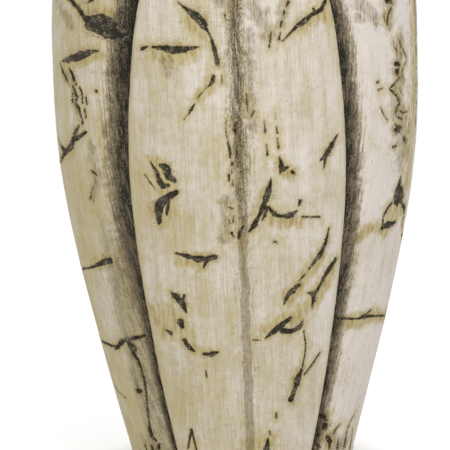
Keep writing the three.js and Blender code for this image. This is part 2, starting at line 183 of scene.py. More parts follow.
class PetalSizes(bpy.types.PropertyGroup):
    """The five petals and how they overlap."""

    half_width: angle("Half width", "Half of a covering petal at its widest", 39.3)
    widest: length("Widest at", "Height where a covering petal is widest", 160 * MM)
    top_narrowing: angle("Top narrowing", "Half width lost from there to the lip", 11.3)
    foot_narrowing: angle("Foot narrowing", "Half width lost from there to the floor", 3.7)
    crown: share("Crown", "Share of the radius that a petal's edges lie below its crest", 0.045)
    edge_roll: length("Edge roll", "How far a covering edge rounds over", 1.8 * MM)
    edge_roll_width: angle("Edge roll width", "Width of that rounding", 1.6)
    edge_step: angle("Edge step", "Gap between a covering edge and the groove's bottom", 0.8)
    undercut: angle("Undercut", "How far a covering edge is hollowed from beneath", 1.2)
    tuck: angle("Tuck", "How far a covered petal runs on beneath the edge", 0.6)
    groove: share("Groove", "Depth of a groove, as a share of the radius", 0.07)
    groove_flank: angle("Groove flank", "Width of the slope down to a groove", 11)
    midrib_depth: length("Midrib depth", "Depth of the groove along a petal's middle", 3.2 * MM)
    midrib_half_width: angle("Midrib half width", "Half width of that groove", 2.3)
    midrib_drift: angle("Midrib drift", "Turn of that groove from the lip to the floor", 2.3)
    twist: angle("Twist", "Turn of the petals from the lip to the floor", 1.5)
    inner_lobe: share("Inner lobe", "Share of the radius by which the inside is drawn in", 0.1)


class CarvingSizes(bpy.types.PropertyGroup):
    """The gouges and cracks, and the brushed grain."""

    depth: length("Depth", "Greatest depth of a gouge", 2.6 * MM)
    burr: length("Burr", "Height of the rim that a gouge raises", 0.35 * MM)
    burr_width: length("Burr width", "Width of that rim", 2.4 * MM)
    ragged: share("Ragged", "Roughness of a gouge's outline", 0.45)
    crackle: length("Crackle", "Depth of the crackle along the midribs", 0.6 * MM)
    grain_depth: length("Grain depth", "Relief of the grain along the petals", 0.22 * MM)
    wave_depth: length("Wave depth", "Relief of the slow waves of the face", 1.4 * MM)


class FinishColours(bpy.types.PropertyGroup):
    """The layers of the weathered finish, and the plain materials inside."""

    chalk: colour("Chalk", "Brightest brushed coat", srgb(226, 217, 208))
    cream: colour("Cream", "Main brushed coat", srgb(207, 197, 172))
    straw: colour("Straw", "Thin coat that shows the yellow ground", srgb(194, 178, 130))
    ochre: colour("Ochre", "Yellow ground round the gouges", srgb(160, 141, 88))
    # In the grooves, umber and soot also paint part of their shade.
    umber: colour("Umber", "Brown wash in the grooves", srgb(102, 92, 73))
    soot: colour("Soot", "Dark wax in the gouges and slits", srgb(40, 37, 30))
    wash: colour("Wash", "Plain coat on the inside wall", srgb(150, 143, 127))
    plastic: colour("Plastic", "Moulded liner and grips", srgb(36, 37, 39))
    laminate: colour("Laminate", "Raw ring that carries the liner", srgb(118, 111, 98))
    rubber: colour("Rubber", "Drain plug and pads", srgb(44, 42, 40))


class StageSettings(bpy.types.PropertyGroup):
    """Camera, lights and floor."""

    distance: length("Distance", "From the camera to the pot's axis", 2.5)
    eye_height: length("Eye height", "Height of the camera", 0.5)
    aim_height: length("Aim height", "Height on the axis that the camera looks at", 0.221)
    lens: bpy.props.FloatProperty(name="Lens", description="Focal length in mm", default=209.8)
    sensor: bpy.props.FloatProperty(name="Sensor", description="Sensor width in mm", default=36)
    shift_x: share("Shift X", "Sideways shift of the picture", -0.030)
    shift_y: share("Shift Y", "Upward shift of the picture", 0.0196)
    roll: angle("Roll", "Turn of the camera about its own line of sight", -1.17)
    key_power: bpy.props.FloatProperty(
        name="Key power", description="Large lamp at the front right", default=26, unit="POWER"
    )
    fill_power: bpy.props.FloatProperty(
        name="Fill power", description="Large lamp at the front left", default=16, unit="POWER"
    )
    sky: share("Sky", "Even light from all round", 0.62)


class CachepotSettings(bpy.types.PropertyGroup):
    """Everything that a user would change."""

    outline: bpy.props.PointerProperty(type=OutlineSizes)
    floor: bpy.props.PointerProperty(type=FloorSizes)
    petals: bpy.props.PointerProperty(type=PetalSizes)
    carving: bpy.props.PointerProperty(type=CarvingSizes)
    colours: bpy.props.PointerProperty(type=FinishColours)
    stage: bpy.props.PointerProperty(type=StageSettings)


# Gouges and cracks, each a line of places: column and row in the picture, and half width in millimetres
FRONT_MARKS = {
    "hook gouge": [(178, 2, 0.5), (185, 8, 1.3), (195, 15, 3.8), (203, 24, 3.8), (208, 31, 1.2)],
    "hook shaft": [(208, 31, 1.0), (211, 37, 0.9), (214, 48, 1.9), (218, 64, 2.1)],
    "hook return": [(214, 77, 2.2), (212, 82, 1.8), (208, 87, 0.6)],
    "hook return dashes": [(206, 88, 0.5), (202, 93, 0.7), (198, 98, 0.5)],
    "hook return tail": [(195, 104, 0.6), (192, 109, 1.5), (189, 114, 0.6)],
    "hook return end": [(187, 116, 0.4), (184, 120, 0.5)],
    "speckled lens tip": [(140, 49, 1.9), (146, 47, 1.1)],
    "speckled lens": [(152, 47, 1.4), (165, 49, 2.9), (177, 50, 3.8), (199, 47, 0.8)],
    "cluster stroke": [(149, 162, 0.9), (156, 174, 2.5), (161, 186, 3.2)],
    "cluster foot": [(161, 187, 2.4), (168, 186, 1.7)],
    "cluster patch": [(159, 165, 1.6), (166, 169, 4.5), (168, 176, 3.6), (174, 180, 2.5)],
    "cluster thread": [(143, 175, 0.6), (149, 183, 0.8), (155, 190, 0.5)],
    "cluster gouge": [(176, 192, 2.2), (168, 198, 4.5), (159, 207, 6.0), (158, 223, 2.5)],
    "cluster barb": [(168, 200, 2.5), (166, 215, 1.1)],
    "bird gouge": [(175, 253, 0.7), (186, 256, 2.0), (199, 259, 3.0), (215, 257, 2.2)],
    "bird leg": [(207, 259, 2.5), (204, 267, 1.3)],
    "low patch": [(172, 294, 2.0), (180, 301, 5.0), (186, 312, 1.1)],
    "low patch fin": [(184, 296, 1.5), (181, 303, 3.0)],
    "low blob": [(180, 323, 3.8), (182, 327, 2.2)],
    "low crumbs": [(164, 330, 0.9), (170, 334, 2.2)],
    "low stroke": [(184, 341, 2.4), (189, 347, 2.5), (195, 352, 0.9)],
    "low star": [(204, 354, 1.4), (212, 354, 2.8), (218, 352, 0.9)],
    "low dash": [(206, 371, 0.6), (207, 377, 0.7)],
    "foot wedge left": [(191, 430, 1.3), (187, 449, 1.0)],
    "foot wedge right": [(191, 430, 1.3), (196, 450, 1.1)],
    "diagonal": [(327, 1, 1.8), (321, 10, 2.4), (312, 15, 1.7), (305, 21, 2.7), (297, 26, 2.2)],
    "diagonal tail": [(297, 26, 2.0), (291, 32, 1.1), (282, 41, 0.6)],
    "diagonal barb": [(316, 12, 1.4), (313, 8, 0.7)],
    "diagonal crumbs": [(280, 32, 0.6), (279, 39, 0.9)],
    "diagonal crumb": [(281, 22, 1.1), (280, 27, 0.7)],
    "diagonal specks": [(288, 2, 1.2), (286, 6, 0.7)],
    "diagonal speck": [(284, 11, 1.0), (283, 15, 0.6)],
    "grain speck": [(271, 32, 0.6), (269, 47, 0.8)],
    "spear": [(340, 135, 0.7), (333, 146, 2.6), (327, 156, 2.6), (322, 160, 1.1)],
    "spear tail": [(327, 157, 1.9), (325, 169, 0.7)],
    "wedge": [(279, 157, 0.8), (281, 166, 2.9), (280, 173, 1.3)],
    "wedge arm": [(288, 167, 0.9), (283, 169, 2.5)],
    "wedge crumb": [(292, 172, 1.9), (295, 174, 0.9)],
    "stem": [(271, 178, 0.7), (268, 192, 2.8), (266, 198, 3.4), (259, 215, 1.5), (253, 226, 2.5)],
    "stem crumbs": [(264, 203, 1.5), (266, 212, 1.9), (262, 220, 0.9)],
    "stem foot": [(255, 225, 2.2), (252, 228, 1.6), (249, 231, 1.3)],
    "rib tick": [(225, 14, 0.7), (226, 20, 0.5)],
    "rib scratch": [(222, 75, 0.3), (222, 83, 0.5)],
    "rib crack": [(226, 118, 0.3), (226, 132, 0.5), (228, 142, 0.5), (229, 151, 0.7)],
    "rib smudge": [(235, 125, 1.1), (235, 131, 1.9), (236, 134, 0.7)],
    "rib knot": [(229, 146, 0.9), (230, 151, 1.4), (230, 158, 0.6)],
    "rib blot": [(232, 163, 1.1), (232, 165, 0.9)],
    "rib dot": [(231, 171, 0.7), (232, 173, 0.6)],
    "rib split": [(235, 147, 0.4), (237, 154, 1.1), (236, 159, 0.5)],
    "rib flake": [(229, 175, 1.1), (229, 181, 0.8)],
    "rib fleck": [(233, 181, 0.5), (233, 186, 0.6)],
    "rib crumbs": [(229, 207, 0.6), (231, 208, 1.1), (234, 209, 0.5)],
    "rib dashes": [(229, 219, 0.5), (230, 224, 0.6)],
    "rib strokes": [(234, 216, 0.4), (233, 222, 0.8)],
    "rib foot": [(244, 226, 0.7), (240, 232, 1.6), (239, 239, 0.9)],
    "rib end": [(232, 233, 1.4), (234, 237, 0.8)],
    "rib shard": [(246, 94, 0.6), (247, 102, 0.9), (247, 111, 0.6)],
    "rib spur": [(254, 111, 0.8), (251, 117, 0.5)],
    "smile": [(268, 207, 1.3), (274, 214, 2.1), (282, 216, 1.5), (291, 215, 3.0), (297, 211, 0.9)],
    "smile tick": [(300, 201, 1.9), (299, 205, 0.9)],
    "smile line": [(302, 217, 0.9), (311, 217, 0.7), (321, 217, 0.9)],
    "grain dash left": [(264, 121, 0.6), (265, 133, 0.9)],
    "grain dash left low": [(266, 144, 0.6), (267, 155, 0.9)],
    "grain dash right": [(275, 113, 0.3), (275, 119, 0.4)],
    "grain dash right middle": [(276, 127, 0.6), (277, 133, 0.8)],
    "grain dash right low": [(277, 138, 0.6), (278, 148, 0.8)],
    "lone speck": [(274, 242, 1.3), (276, 242, 1.3)],
    "sickle": [(331, 228, 0.8), (327, 244, 2.0), (321, 255, 2.9), (310, 269, 1.1)],
    "sickle specks": [(306, 274, 0.7), (299, 281, 0.8)],
    "sickle hook": [(299, 285, 2.0), (292, 291, 3.0), (287, 297, 2.2), (284, 304, 0.8)],
    "edge gouge": [(339, 260, 2.1), (332, 269, 2.8), (320, 288, 1.6), (315, 297, 2.4), (313, 308, 0.9)],
    "edge gouge barb": [(308, 293, 0.7), (313, 294, 1.9), (316, 300, 2.2)],
    "brow": [(290, 318, 1.9), (281, 325, 2.8), (274, 331, 2.5), (265, 338, 0.9)],
    "brow lower": [(304, 320, 0.7), (300, 326, 2.4), (291, 331, 2.4), (282, 331, 2.4)],
    "thread": [(304, 331, 0.7), (306, 345, 0.8), (303, 367, 0.7)],
    "branch": [(322, 353, 0.7), (314, 364, 1.3), (305, 375, 0.9)],
    "root": [(302, 370, 1.9), (298, 381, 3.8), (295, 389, 1.9), (291, 400, 3.0)],
    "midrib tick": [(253, 340, 0.8), (260, 340, 0.6)],
    "foot specks": [(276, 413, 0.8), (276, 417, 1.1)],
    "foot speck": [(269, 431, 0.7), (270, 435, 0.8)],
    "foot spike": [(268, 438, 0.8), (266, 453, 3.8)],
}
LEFT_MARKS = {
    "shoulder stroke": [(66, -8, 1.4), (79, 9, 2.9), (88, 24, 2.4)],
    "shoulder spur": [(93, -2, 2.5), (87, 3, 1.1)],
    "crumbled gouge": [(86, 26, 2.8), (96, 28, 5.8), (106, 33, 6.0), (114, 38, 3.5), (124, 40, 1.4)],
    "crumbled top": [(85, 17, 1.6), (92, 21, 5.2), (101, 21, 6.0), (108, 24, 3.8), (116, 33, 2.2)],
    "lens gouge": [(65, 61, 1.3), (72, 59, 3.2), (81, 55.5, 4.1), (90, 52.3, 2.8), (97, 51, 0.7)],
    "braid outer": [(63, 64, 1.4), (65, 71, 2.2), (68, 78, 1.9), (71, 85, 1.0)],
    "braid inner": [(71, 68, 1.2), (74, 76, 2.8), (77, 83, 2.1)],
    "braid knot": [(74, 87, 1.9), (76, 92, 2.8), (78, 97, 1.7)],
    "braid smear": [(74, 94, 1.5), (74, 101, 1.9)],
    "braid cross": [(80, 88, 1.3), (82, 93, 1.8), (83, 103, 1.4)],
    "braid thread": [(79, 97, 1.3), (77, 103, 1.6), (80, 109, 1.7), (81, 115, 1.2)],
    "braid specks": [(86, 98, 1.5), (87, 104, 1.1)],
    "braid scratch": [(85, 109, 1.2), (86, 117, 1.5)],
    "braid end": [(82, 116, 1.2), (83, 122, 1.9)],
    "fork stem": [(80, 126, 1.4), (76, 136, 3.5), (73, 146, 3.8), (68, 152, 3.0), (60, 172, 1.6)],
    "fork right": [(87, 132, 0.9), (82, 135, 2.2), (77, 140, 2.2)],
    "fork left": [(61, 138, 0.8), (64, 147, 2.5), (68, 152, 3.5)],
    "speck": [(95, 91, 1.3), (96, 92, 0.9)],
    "tick": [(92, 171, 1.3), (97, 176, 0.9)],
    "specks": [(93, 188, 0.6), (91, 199, 0.8)],
    "upper ring": [(79, 256, 0.8), (82, 265, 1.3), (90, 268, 0.8), (98, 265, 2.1), (110, 260, 3.0)],
    "lower ring": [(100, 337, 1.3), (110, 344, 1.3), (118, 347, 2.4), (123, 341, 2.1), (138, 337, 1.6)],
    "split head": [(127, 341, 2.6), (131, 347, 4.2), (133, 354, 2.8), (137, 362, 1.6)],
    "split": [(137, 362, 1.4), (140, 372, 1.1), (144, 390, 1.0), (146, 405, 1.0), (149, 422, 1.2)],
    "split foot": [(149, 422, 1.4), (150, 430, 2.4), (152, 437, 3.6)],
    "faint arc": [(115, 383, 0.6), (121, 392, 0.7), (128, 398, 0.5)],
    "split blob": [(137, 391, 2.2), (141, 391, 2.0)],
    "foot crackle": [(153, 437, 1.5), (155, 440, 1.7)],
    "foot crackle low": [(158, 444, 1.1), (158, 448, 1.7)],
    "foot crumbs": [(146, 445, 1.4), (147, 449, 1.8)],
    "foot chips": [(152, 446, 1.2), (153, 450, 1.7)],
    "foot corner": [(130, 441, 0.6), (133, 450, 1.6)],
}
RIGHT_MARKS = {
    "shoulder blot": [(386, 1, 2.0), (391, 2, 2.0)],
    "shoulder dash": [(390, 8, 0.9), (388, 14, 1.4), (387, 19, 1.4), (387, 25, 0.7)],
    "shoulder crumbs": [(384, 13, 0.6), (384, 17, 0.8), (385, 22, 0.5)],
    "shoulder thread": [(397, 38, 0.5), (400, 47, 0.8), (403, 55, 1.1)],
    "shoulder thread end": [(403, 55, 0.8), (404, 60, 0.7), (402, 65, 0.8)],
    "shoulder scratch": [(392, 40, 0.5), (393, 46, 0.7), (395, 51, 0.5)],
    "shoulder splinter": [(397, 41, 0.6), (399, 51, 0.7), (399, 60, 0.6)],
    "zigzag knot": [(394, 64, 2.0), (398, 64, 2.0)],
    "zigzag top": [(395, 71, 2.1), (397, 72, 2.5), (396, 75, 1.4)],
    "zigzag side": [(401, 68, 0.6), (400, 73, 0.8), (402, 80, 0.5)],
    "zigzag down": [(398, 77, 0.9), (394, 83, 1.1), (389, 89, 0.8)],
    "zigzag back": [(389, 89, 0.8), (393, 93, 1.3), (396, 97, 1.5)],
    "zigzag body": [(396, 98, 2.0), (398, 101, 2.5), (397, 106, 1.6)],
    "zigzag bend": [(396, 107, 1.9), (395, 112, 2.2), (395, 117, 0.9)],
    "zigzag arm": [(398, 110, 0.9), (401, 113, 0.9), (405, 111, 0.9)],
    "zigzag chip": [(398, 88, 0.6), (399, 92, 0.8)],
    "zigzag crumbs": [(396, 117, 1.2), (400, 119, 0.8)],
    "zigzag low": [(394, 124, 0.9), (397, 127, 1.9), (400, 128, 1.4)],
    "zigzag blot": [(394, 130, 2.0), (398, 131, 2.0), (399, 134, 0.7)],
    "zigzag end": [(402, 138, 2.0), (403, 142, 2.0)],
    "zigzag speck": [(392, 147, 1.5), (395, 146, 0.9)],
    "zigzag thread": [(404, 147, 0.5), (402, 155, 0.7)],
    "thread": [(381, 107, 0.6), (383, 113, 0.7), (387, 120, 0.8)],
    "speck": [(377, 83, 0.8), (379, 82, 1.3)],
    "specks": [(379, 90, 0.8), (383, 88, 0.5)],
    "spearhead": [(399, 175, 1.2), (398, 181, 3.4), (397, 187, 5.6), (396, 194, 6.4), (396, 201, 5.6)],
    "spearhead left": [(395, 191, 4.8), (393, 200, 5.2)],
    "spearhead right": [(399, 191, 5.2), (400, 200, 5.8)],
    "ring left": [(391, 202, 1.3), (386, 209, 2.0), (383, 216, 1.4)],
    "ring bridge": [(382, 218, 1.4), (382, 225, 2.0)],
    "ring right": [(400, 204, 2.6), (402, 209, 3.6), (402, 214, 2.2)],
    "ring tail": [(402, 215, 1.6), (400, 222, 1.4), (401, 231, 1.6), (402, 239, 0.9)],
    "ring low": [(381, 228, 2.2), (385, 225, 3.8), (389, 225, 2.8), (394, 221, 1.3)],
    "long thread": [(414, 36, 0.4), (413, 66, 0.7), (412, 95, 0.4)],
    "ring crack": [(336, 324, 1.9), (346, 320, 1.5), (356, 319, 0.9), (362, 317, 2.0), (370, 310, 0.8)],
    "ring crack end": [(362, 317, 2.1), (371, 316, 1.3), (386, 316, 0.8)],
    "foot knot": [(325, 417, 1.5), (329, 418, 2.2), (331, 421, 1.6)],
    "foot knot side": [(330, 425, 2.4), (329, 429, 2.0)],
    "foot thread": [(340, 424, 0.7), (336, 429, 0.8), (334, 434, 1.0)],
    "foot branch": [(355, 410, 0.5), (351, 418, 0.9), (347, 427, 1.1)],
    "foot branch low": [(346, 431, 0.9), (343, 447, 1.7)],
    "foot splinter": [(351, 428, 0.6), (350, 437, 1.0), (348, 449, 1.3)],
    "foot crumbs": [(322, 432, 1.2), (324, 437, 1.8)],
    "foot chips": [(319, 444, 1.5), (323, 448, 2.4)],
    "foot flake": [(330, 437, 2.0), (331, 443, 2.4), (330, 449, 1.2)],
    "foot stump": [(338, 441, 0.8), (337, 449, 1.9)],
}
PICTURED_MARKS = {"front": FRONT_MARKS, "left": LEFT_MARKS, "right": RIGHT_MARKS}
# Where the yellow ground shows through the coat, and where dirt is rubbed into it, written as the marks are
PICTURED_GROUND = {
    "front": {
        "hook": [(186, 20, 5), (200, 36, 5)],
        "lens": [(150, 52, 5), (178, 57, 7), (196, 52, 5)],
        "hook return": [(212, 80, 5), (200, 98, 4)],
        "cluster": [(152, 158, 5), (164, 180, 8), (168, 205, 8), (160, 226, 5)],
        "bird": [(178, 262, 4), (200, 266, 4)],
        "low cluster": [(150, 312, 8), (160, 326, 10), (170, 318, 9), (182, 330, 8), (196, 350, 5)],
        "diagonal": [(300, 30, 5), (322, 12, 7), (332, 20, 6)],
        "wedge": [(280, 165, 5), (290, 175, 4)],
        "stem": [(266, 195, 5), (262, 212, 6), (275, 220, 6), (300, 222, 4)],
        "sickle": [(318, 262, 5), (300, 284, 6), (290, 296, 6)],
        "edge": [(334, 270, 6), (316, 300, 6), (300, 310, 7)],
        "brow": [(262, 330, 5), (278, 322, 7), (300, 320, 6)],
        "root": [(300, 372, 6), (294, 392, 5)],
        "foot": [(268, 440, 7), (250, 446, 7)],
    },
    "left": {
        "crumbled": [(80, 6, 6), (96, 10, 8), (112, 18, 8)],
        "lens": [(66, 66, 4), (84, 60, 5), (98, 54, 4)],
        "fork": [(78, 130, 5), (70, 150, 5)],
        "ring": [(95, 262, 5), (110, 258, 5)],
    },
    "right": {
        "loop": [(388, 211, 6), (393, 212, 8), (398, 210, 8)],
        "ring crack": [(340, 326, 5), (356, 322, 6), (370, 318, 6), (384, 316, 5)],
        "ring low": [(363, 238, 4), (374, 227, 5), (384, 232, 5)],
        # This band makes the right petal's limb yellower and darker.
        "limb": [(412, 5, 17), (412, 90, 15), (408, 150, 17), (405, 180, 12)],
    },
}
PICTURED_DIRT = {
    "front": {
        "rib crown": [(250, 6, 8), (262, 20, 9), (268, 36, 7)],
        "rib crown left": [(218, 0, 5), (228, 6, 5)],
        "lens drip": [(166, 60, 5), (170, 72, 4)],
        "rib side": [(248, 30, 4), (249, 60, 4), (250, 100, 5), (254, 130, 4)],
        "diagonal": [(284, 4, 5), (280, 24, 4)],
        "rib foot": [(226, 200, 5), (224, 240, 4)],
        "stripe top": [(241, 236, 3), (243, 262, 2), (245, 285, 2)],
    },
    "left": {
        "shoulder": [(60, 0, 6), (66, 14, 5), (74, 26, 5)],
        "crumbled": [(88, 14, 6), (110, 22, 6)],
        "braid": [(66, 74, 4), (74, 82, 5), (77, 105, 5), (82, 122, 4)],
        "flank": [(92, 150, 6), (96, 180, 7), (93, 198, 4)],
        "low flank": [(118, 240, 8), (124, 270, 9), (128, 300, 8)],
        "split": [(134, 372, 5), (138, 390, 5)],
        "foot": [(146, 442, 7), (154, 447, 7)],
    },
    "right": {
        "shoulder": [(362, 4, 8), (376, 18, 7)],
        "zigzag": [(398, 42, 10), (397, 65, 8), (397, 100, 10), (400, 125, 16), (400, 150, 14)],
        "shoulder dash": [(388, 2, 9), (388, 24, 7)],
        "shoulder blot": [(362, 17, 4), (364, 19, 4)],
        "foot": [(326, 424, 6), (330, 436, 8), (342, 446, 9)],
    },
}

# Marks on the far sides of the left and right petals: a seed, and the distances from the petal's middle, in
# metres, between which they start
UNSEEN_SIDES = {"left": (1, -0.1, -0.06), "right": (2, 0.06, 0.1)}
UNSEEN_MARKS = 14
# Their ranges: height of the start in metres, half width in millimetres, number of places, and the
# millimetres and the turn from one place to the next
UNSEEN_HEIGHTS = (0.03, HEIGHT - 0.04)
UNSEEN_HALVES = (0.6, 3.0)
UNSEEN_PLACES = (3, 5)
UNSEEN_STRETCH = (6, 13)
UNSEEN_BEND = (-0.7, 0.7)
UNSEEN_THINNEST = 0.5 * MM
END_OVER_END = 0.467  # the two heights of a stroke that is turned over add up to this


# Node trees written as arithmetic


class Field:
    """A node's socket that plain arithmetic can use, in a geometry or a shader tree."""

    def __init__(self, socket):
        self.socket = socket
        self.tree = socket.id_data

    def __add__(self, other):
        return calc(self.tree, "ADD", self, other)

    def __radd__(self, other):
        return calc(self.tree, "ADD", other, self)

    def __sub__(self, other):
        return calc(self.tree, "SUBTRACT", self, other)

    def __rsub__(self, other):
        return calc(self.tree, "SUBTRACT", other, self)

    def __mul__(self, other):
        return calc(self.tree, "MULTIPLY", self, other)

    def __rmul__(self, other):
        return calc(self.tree, "MULTIPLY", other, self)

    def __truediv__(self, other):
        return calc(self.tree, "DIVIDE", self, other)

    def __pow__(self, other):
        return calc(self.tree, "POWER", self, other)

    def __gt__(self, other):
        return calc(self.tree, "GREATER_THAN", self, other)

    def least(self, other):
        return calc(self.tree, "MINIMUM", self, other)

    def most(self, other):
        return calc(self.tree, "MAXIMUM", self, other)

    def clamped(self):
        return calc(self.tree, "ADD", self, 0.0, clamp=True)

    def function(self, operation):
        return calc(self.tree, operation, self)

    def blend(self, first, second):
        """first where this is 0, second where it is 1."""
        return first + self * (second - first)

    def rising(self, low, high):
        """Smoothly from 0 at low to 1 at high."""
        node = self.tree.nodes.new("ShaderNodeMapRange")
        node.interpolation_type = "SMOOTHSTEP"
        feed(node.inputs["Value"], self)
        feed(node.inputs["From Min"], low)
        feed(node.inputs["From Max"], high)
        return Field(node.outputs["Result"])

    def falling(self, low, high):
        """Smoothly from 1 at low to 0 at high."""
        return 1.0 - self.rising(low, high)


def feed(socket, value):
    """Links a field to an input, or sets the input to a plain value."""
    if isinstance(value, Field):
        socket.id_data.links.new(value.socket, socket)
    else:
        socket.default_value = value


def calc(tree, operation, *values, clamp=False):
    """The result of one math node."""
    node = tree.nodes.new("ShaderNodeMath")
    node.operation = operation
    node.use_clamp = clamp
    for socket, value in zip(node.inputs, values):
        feed(socket, value)
    return Field(node.outputs["Value"])


def place(tree, kind, inputs=None, **settings):
    """A new node with its settings made and its inputs fed."""
    node = tree.nodes.new(kind)
    for name, value in settings.items():
        setattr(node, name, value)
    for name, value in (inputs or {}).items():
        feed(node.inputs[name], value)
    return node


def output(node, name):
    return Field(node.outputs[name])


def vector(tree, x, y, z):
    return output(place(tree, "ShaderNodeCombineXYZ", {"X": x, "Y": y, "Z": z}), "Vector")


def parts_of(field):
    """X, Y and Z of a vector."""
    node = place(field.tree, "ShaderNodeSeparateXYZ", {"Vector": field})
    return [output(node, axis) for axis in "XYZ"]


def noise(spot, scale, detail=2.0, roughness=0.5):
    """Smooth noise about 0.5 at a place."""
    inputs = {"Vector": spot, "Scale": scale, "Detail": detail, "Roughness": roughness}
    return output(place(spot.tree, "ShaderNodeTexNoise", inputs), "Fac")


def stretched(field, wide, long):
    """Places scaled so that noise of size 1 comes out that wide and that long."""
    across, along, seed = parts_of(field)
    return vector(field.tree, across / wide, along / long, seed)


def new_group(name, kind, inputs, outputs):
    """A node tree with named sockets, and the fields of its inputs."""
    tree = bpy.data.node_groups.new(name, kind)
    for label, socket_type in inputs.items():
        tree.interface.new_socket(label, in_out="INPUT", socket_type=socket_type)
    for label, socket_type in outputs.items():
        tree.interface.new_socket(label, in_out="OUTPUT", socket_type=socket_type)
    source = tree.nodes.new("NodeGroupInput")
    return tree, {label: Field(source.outputs[label]) for label in inputs}


def end_group(tree, results):
    """Feeds a tree's results to its named outputs."""
    sink = tree.nodes.new("NodeGroupOutput")
    for label, value in results.items():
        feed(sink.inputs[label], value)


FLOAT = "NodeSocketFloat"
VECTOR = "NodeSocketVector"
GEOMETRY = "NodeSocketGeometry"
OBJECT = "NodeSocketObject"
MATERIAL = "NodeSocketMaterial"


def numbers_of(group):
    """A property group's numbers by their names."""
    return {name: getattr(group, name) for name in group.__annotations__}


def passed_on(geometry, kind, inputs, **settings):
    """The geometry after one more node."""
    node = place(geometry.tree, kind, {"Geometry": geometry, **inputs}, **settings)
    return output(node, "Geometry")


def object_geometry(object_field):
    return output(place(object_field.tree, "GeometryNodeObjectInfo", {"Object": object_field}), "Geometry")


# The rule that shapes the petals


def petal_spans(given, height):
    """Half widths of the petal to its left and right edge, its twist and its midrib's place, at a height."""
    rise = ((height - given["widest"]) / (HEIGHT - given["widest"])).most(0.0)
    fall = ((given["widest"] - height) / given["widest"]).most(0.0)
    covering = given["half_width"] - given["top_narrowing"] * rise**TOP_POWER
    covering = covering - given["foot_narrowing"] * fall**FOOT_POWER
    covered = PITCH - covering
    left = given["Covers Left"].blend(covered, covering)
    right = given["Covers Right"].blend(covered, covering)
    below_lip = (1.0 - height / HEIGHT) ** TWIST_POWER
    return left, right, given["twist"] * below_lip, given["Midrib"] + given["midrib_drift"] * below_lip


def lobe_of(turn):
    """0 at a petal's crest and 1 between two petals."""
    return (1.0 - (turn * float(len(PETALS))).function("COSINE")) * 0.5


def crest_at(given, nominal_radius, nominal_height, turn):
    """Crest radius and height, with the lip lower between petals."""
    lip = HEIGHT - given["lip_round"]
    to_lip = ((nominal_height - given["belly_height"]) / (lip - given["belly_height"])).clamped()
    height = nominal_height - given["lip_scallop"] * lobe_of(turn) * to_lip
    above = (height - given["belly_height"]).most(0.0)
    arc = given["shoulder_arc"]
    leaned = arc - (arc**2.0 - above**2.0).function("SQRT")
    return (to_lip > 0.0).blend(nominal_radius, given["belly_radius"] - leaned), height


def edge_drop(given, crest, distance, covers):
    """A covering edge rounds over, and a covered one slopes into the groove."""
    rounded = given["edge_roll"] * distance.falling(0.0, given["edge_roll_width"])
    clear = distance - given["edge_step"]
    sloped = given["groove"] * crest * clear.falling(0.0, given["groove_flank"])
    return covers.blend(sloped, rounded)


def nearest_stroke(strokes_object, flat, step):
    """Distance on the face to the nearest stroke's middle line, and the stroke's half width there."""
    tree = flat.tree
    across, along, _ = parts_of(flat)
    here = vector(tree, across, along, 0.0)
    strokes = {"Curve": object_geometry(strokes_object), "Length": step}
    points = output(place(tree, "GeometryNodeCurveToPoints", strokes, mode="LENGTH"), "Points")
    nearest = place(tree, "GeometryNodeSampleNearest", {"Geometry": points, "Sample Position": here})

    def of_nearest(kind, name, data_type):
        value = output(tree.nodes.new(kind), name)
        inputs = {"Geometry": points, "Value": value, "Index": output(nearest, "Index")}
        return output(place(tree, "GeometryNodeSampleIndex", inputs, data_type=data_type), "Value")

    spot = of_nearest("GeometryNodeInputPosition", "Position", "FLOAT_VECTOR")
    half = of_nearest("GeometryNodeInputRadius", "Radius", "FLOAT")
    gap = output(place(tree, "ShaderNodeVectorMath", {0: here, 1: spot}, operation="DISTANCE"), "Value")
    return gap, half


def distance_to_marks(given, flat):
    """Distance on the face to the nearest mark's ragged outline, below 0 inside it, and its half width."""
    gap, half = nearest_stroke(given["Marks"], flat, MARK_STEP)
    coarse = noise(flat, 1 / (6 * MM), detail=1.0) - 0.5
    fine = noise(flat, 1 / (2 * MM), detail=1.0) - 0.5
    return gap - half + (coarse * 3.0 + fine * 1.4) * given["ragged"] * half.least(2.5 * MM), half


def crackle_of(flat):
    """1 on the lines of a crackle of long cells, and 0 inside a cell."""
    cells = {"Vector": stretched(flat, 3.5 * MM, 8 * MM), "Scale": 1.0}
    node = place(flat.tree, "ShaderNodeTexVoronoi", cells, feature="DISTANCE_TO_EDGE")
    return output(node, "Distance").falling(0.0, 0.18)


def relief(given, flat, to_mark, to_rib):
    """Height of the face over its smooth form: gouges, their raised rims, crackle, grain and slow waves."""
    by_rib = to_rib.function("ABSOLUTE").falling(3 * MM, 12 * MM)
    crackle = crackle_of(flat) * by_rib * given["crackle"]
    # A gouge's walls fall 1.4 in 1 from a quarter of a millimetre outside its outline.
    cut = (0.35 * MM - to_mark * 1.4).most(0.0).least(given["depth"])
    cut = cut * to_mark.falling(-0.2 * MM, 0.5 * MM)
    burr = to_mark.rising(0.0, 0.8 * MM) * to_mark.falling(0.8 * MM, given["burr_width"])
    grain = noise(stretched(flat, 2.2 * MM, 60 * MM), 1.0) - 0.5
    waves = noise(stretched(flat, 26 * MM, 90 * MM), 1.0, detail=1.0) - 0.5
    raised = given["burr"] * burr + given["grain_depth"] * 2.0 * grain + given["wave_depth"] * waves
    return raised - cut - crackle


